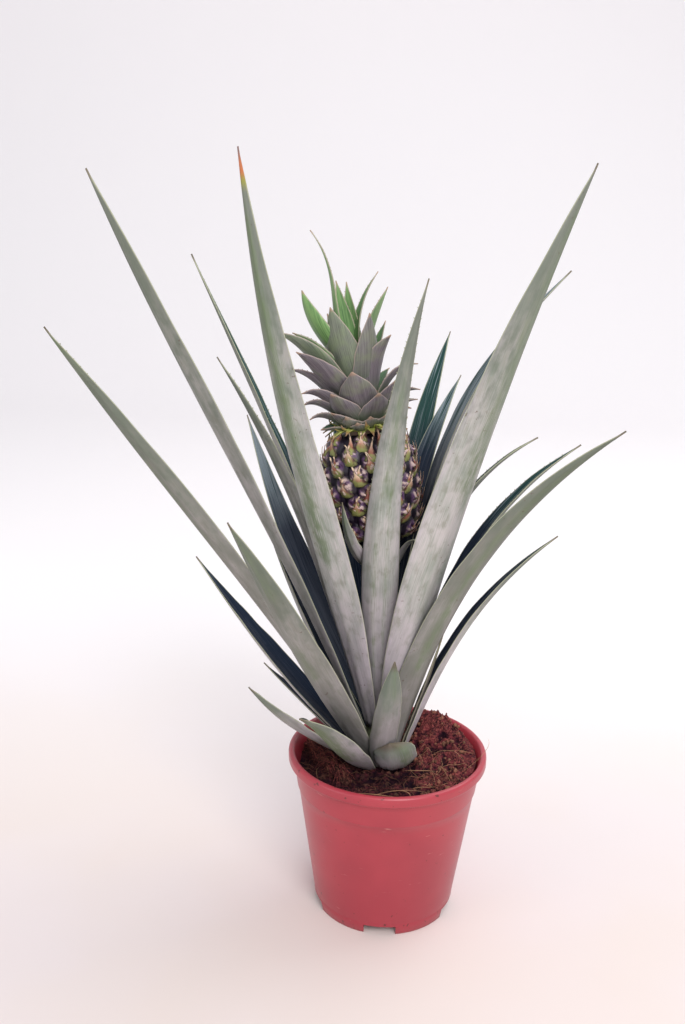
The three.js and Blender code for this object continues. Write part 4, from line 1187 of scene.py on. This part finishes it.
def fibreShapes(rng):
    # Coir fibres lie on the soil in loose arcs, thickest in a tongue at the left.
    count, steps, spread = fibres["count"], fibres["steps"], tongue["spread"]
    inTongue = np.arange(count) < count * tongue["share"]
    t = rng.uniform(0, 1, count)
    line = zip(tongue["start"], tongue["run"])
    besideX, besideY = (a + b * t + rng.normal(0, spread, count) for a, b in line)
    radius, angle = fibres["reach"] * np.sqrt(rng.uniform(0.1, 1, count)), rng.uniform(0, 2 * np.pi, count)
    x = np.where(inTongue, besideX, radius * np.cos(angle))[:, None]
    y = np.where(inTongue, besideY, radius * np.sin(angle))[:, None]
    heading = np.radians(tongue["heading"]) + rng.normal(0, tongue["turn"], count)
    heading = np.where(inTongue, heading, rng.uniform(0, 2 * np.pi, count))[:, None]
    length = rng.uniform(fibres["shortest"], fibres["longest"], count)[:, None]
    s = np.linspace(-0.5, 0.5, steps) * length
    turn = heading + rng.normal(0, fibres["curl"], count)[:, None] * s
    x, y = x + s * np.cos(turn), y + s * np.sin(turn)
    inside = np.minimum(1, fibres["farthest"] / np.maximum(np.hypot(x, y), 1))
    x, y = x * inside, y * inside
    arch = np.where(inTongue, rng.uniform(*tongue["arch"], count), rng.uniform(*fibres["arch"], count))
    ground = np.minimum(soilHeight(x, y), crumbs["highest"]) + roughSoil(x, y) * 0.5 + 0.5
    paths = np.stack([x, y, ground + arch[:, None] * np.cos(np.pi * s / length)], axis=-1)
    thick = fibres["radius"] * rng.uniform(0.6, 1.5, count) * np.where(inTongue, tongue["thicker"], 1)
    shape = strand(paths, thick)
    pale = np.where(inTongue, 0.35 * rng.uniform(0, 1, count) ** 4, rng.uniform(0, 1, count) ** 2.5)
    # How much painted light each fibre takes.
    raised = np.where(inTongue, rng.uniform(*tongue["raised"], count), fibres["raised"])
    shape["layers"] = {"pale": np.repeat(pale, steps * 3), "raised": np.repeat(raised, steps * 3)}
    return shape


def strayShapes():
    # Long pale fibres, each a smooth curve through its three points, and one hair over the rim.
    t = np.linspace(0, 1, 25)[:, None]
    start, middle, end = np.array(strays, float).transpose(1, 0, 2)[:, :, None]
    paths = start * (1 - t) ** 2 + 2 * (2 * middle - (start + end) / 2) * t * (1 - t) + end * t ** 2
    paths[:-1, :, 2] += soilHeight(paths[:-1, :, 0], paths[:-1, :, 1]) - soilSize["level"]
    thick = np.full(len(strays), fibres["radius"] * fibres["strayWidth"])
    thick[-1] = fibres["radius"] * fibres["hairWidth"]
    shape = strand(paths, thick)
    shape["layers"] = {"pale": 0.9, "raised": fibres["raised"]}
    return shape


def addSoil():
    # The body with its crumbs, and the loose fibres on it.
    rng = np.random.default_rng(31)
    body = joined([soilShape(), crumbShapes(rng)])
    loose = joined([fibreShapes(rng), strayShapes()])
    addPiece("soilBody", body, soilMaterial("coir", 0.55), ["soil"])
    addPiece("soilFibres", loose, soilMaterial("coirFibre", 0.8))


addSoil()
print("soil made")
addPot()
print("pot made")


# The studio

studio = {  # metres
    "back": 1.5, "bend": 0.9, "tall": 5.0, "wide": 9.0, "world": (0.95, 0.94, 0.98), "worldStrength": 0.7,
}
# The wall colour is painted light on the same paper, far behind.
paperLook = {"floor": "#ded5d5", "floorWarm": "#ddd2cd", "wall": "#f7f5f6"}
lampAim = Vector((0, 0, 0.2))
lamps = {  # metres and watts
    "overhead": {"from": (0.9, 0.6, 1.8), "size": 1.4, "power": 15, "tint": (1.0, 0.99, 0.98)},
    "front": {"from": (0.5, -1.55, 1.4), "size": 1.0, "power": 28, "tint": (1.0, 0.99, 0.98)},
    "window": {"from": (-1.4, -0.9, 0.5), "size": 0.7, "power": 4, "tint": (0.95, 0.97, 1.0)},
}


def paperMaterial():
    # Pale paper, a little warmer in places, with painted light making it whiter far behind, and a faint wave
    # in it.
    paper = paintedMaterial("palePaper", paperLook, {"Roughness": 0.8, "Specular IOR Level": 0.2})
    warm, away = paper.grain(260.0, 3.0).step(0.35, 0.65), paper.placeOn("Y").step(-0.1, 0.6)
    # Painted light: whiter far behind, where the sweep stands up.
    skin = paper.coated("floor", (warm, "floorWarm"), (away, "wall"))
    return paper.finished(skin, paper.grain(120.0, 3.0), 0.2, 4.0)


def addFloor():
    # A sheet that lies flat, and curves up behind the plant in a quarter circle.
    turn = np.linspace(0, np.pi / 2, 24)
    back, bend, wide = studio["back"], studio["bend"], studio["wide"]
    y = np.concatenate([[-wide], back + bend * np.sin(turn), [back + bend]])
    z = np.concatenate([[0], bend * (1 - np.cos(turn)), [studio["tall"]]])
    points = np.array([(x, b, c) for b, c in zip(y, z) for x in (-wide, wide)])
    mesh = meshOf("backdrop", points, {4: gridFaces(len(y), 2, False)})
    mesh.polygons.foreach_set("use_smooth", np.ones(len(mesh.polygons), bool))
    mesh.materials.append(paperMaterial())
    backdrop = addObject("backdrop", mesh)


def addLight():
    # An even pale sky, and soft square lamps turned to the plant.
    world = bpy.data.worlds.new("studioAir")
    bpy.context.scene.world = world
    world.use_nodes = True
    background = world.node_tree.nodes["Background"]
    background.inputs["Color"].default_value = (*studio["world"], 1.0)
    background.inputs["Strength"].default_value = studio["worldStrength"]
    for name, lamp in lamps.items():
        light = addObject(name, bpy.data.lights.new(name, "AREA"))
        light.data.size, light.data.energy, light.data.color = lamp["size"], lamp["power"], lamp["tint"]
        light.location = Vector(lamp["from"])
        light.rotation_euler = (lampAim - light.location).to_track_quat("-Z", "Y").to_euler()


addFloor()
addLight()
bpy.context.scene.view_settings.view_transform = "Standard"
print("studio made")
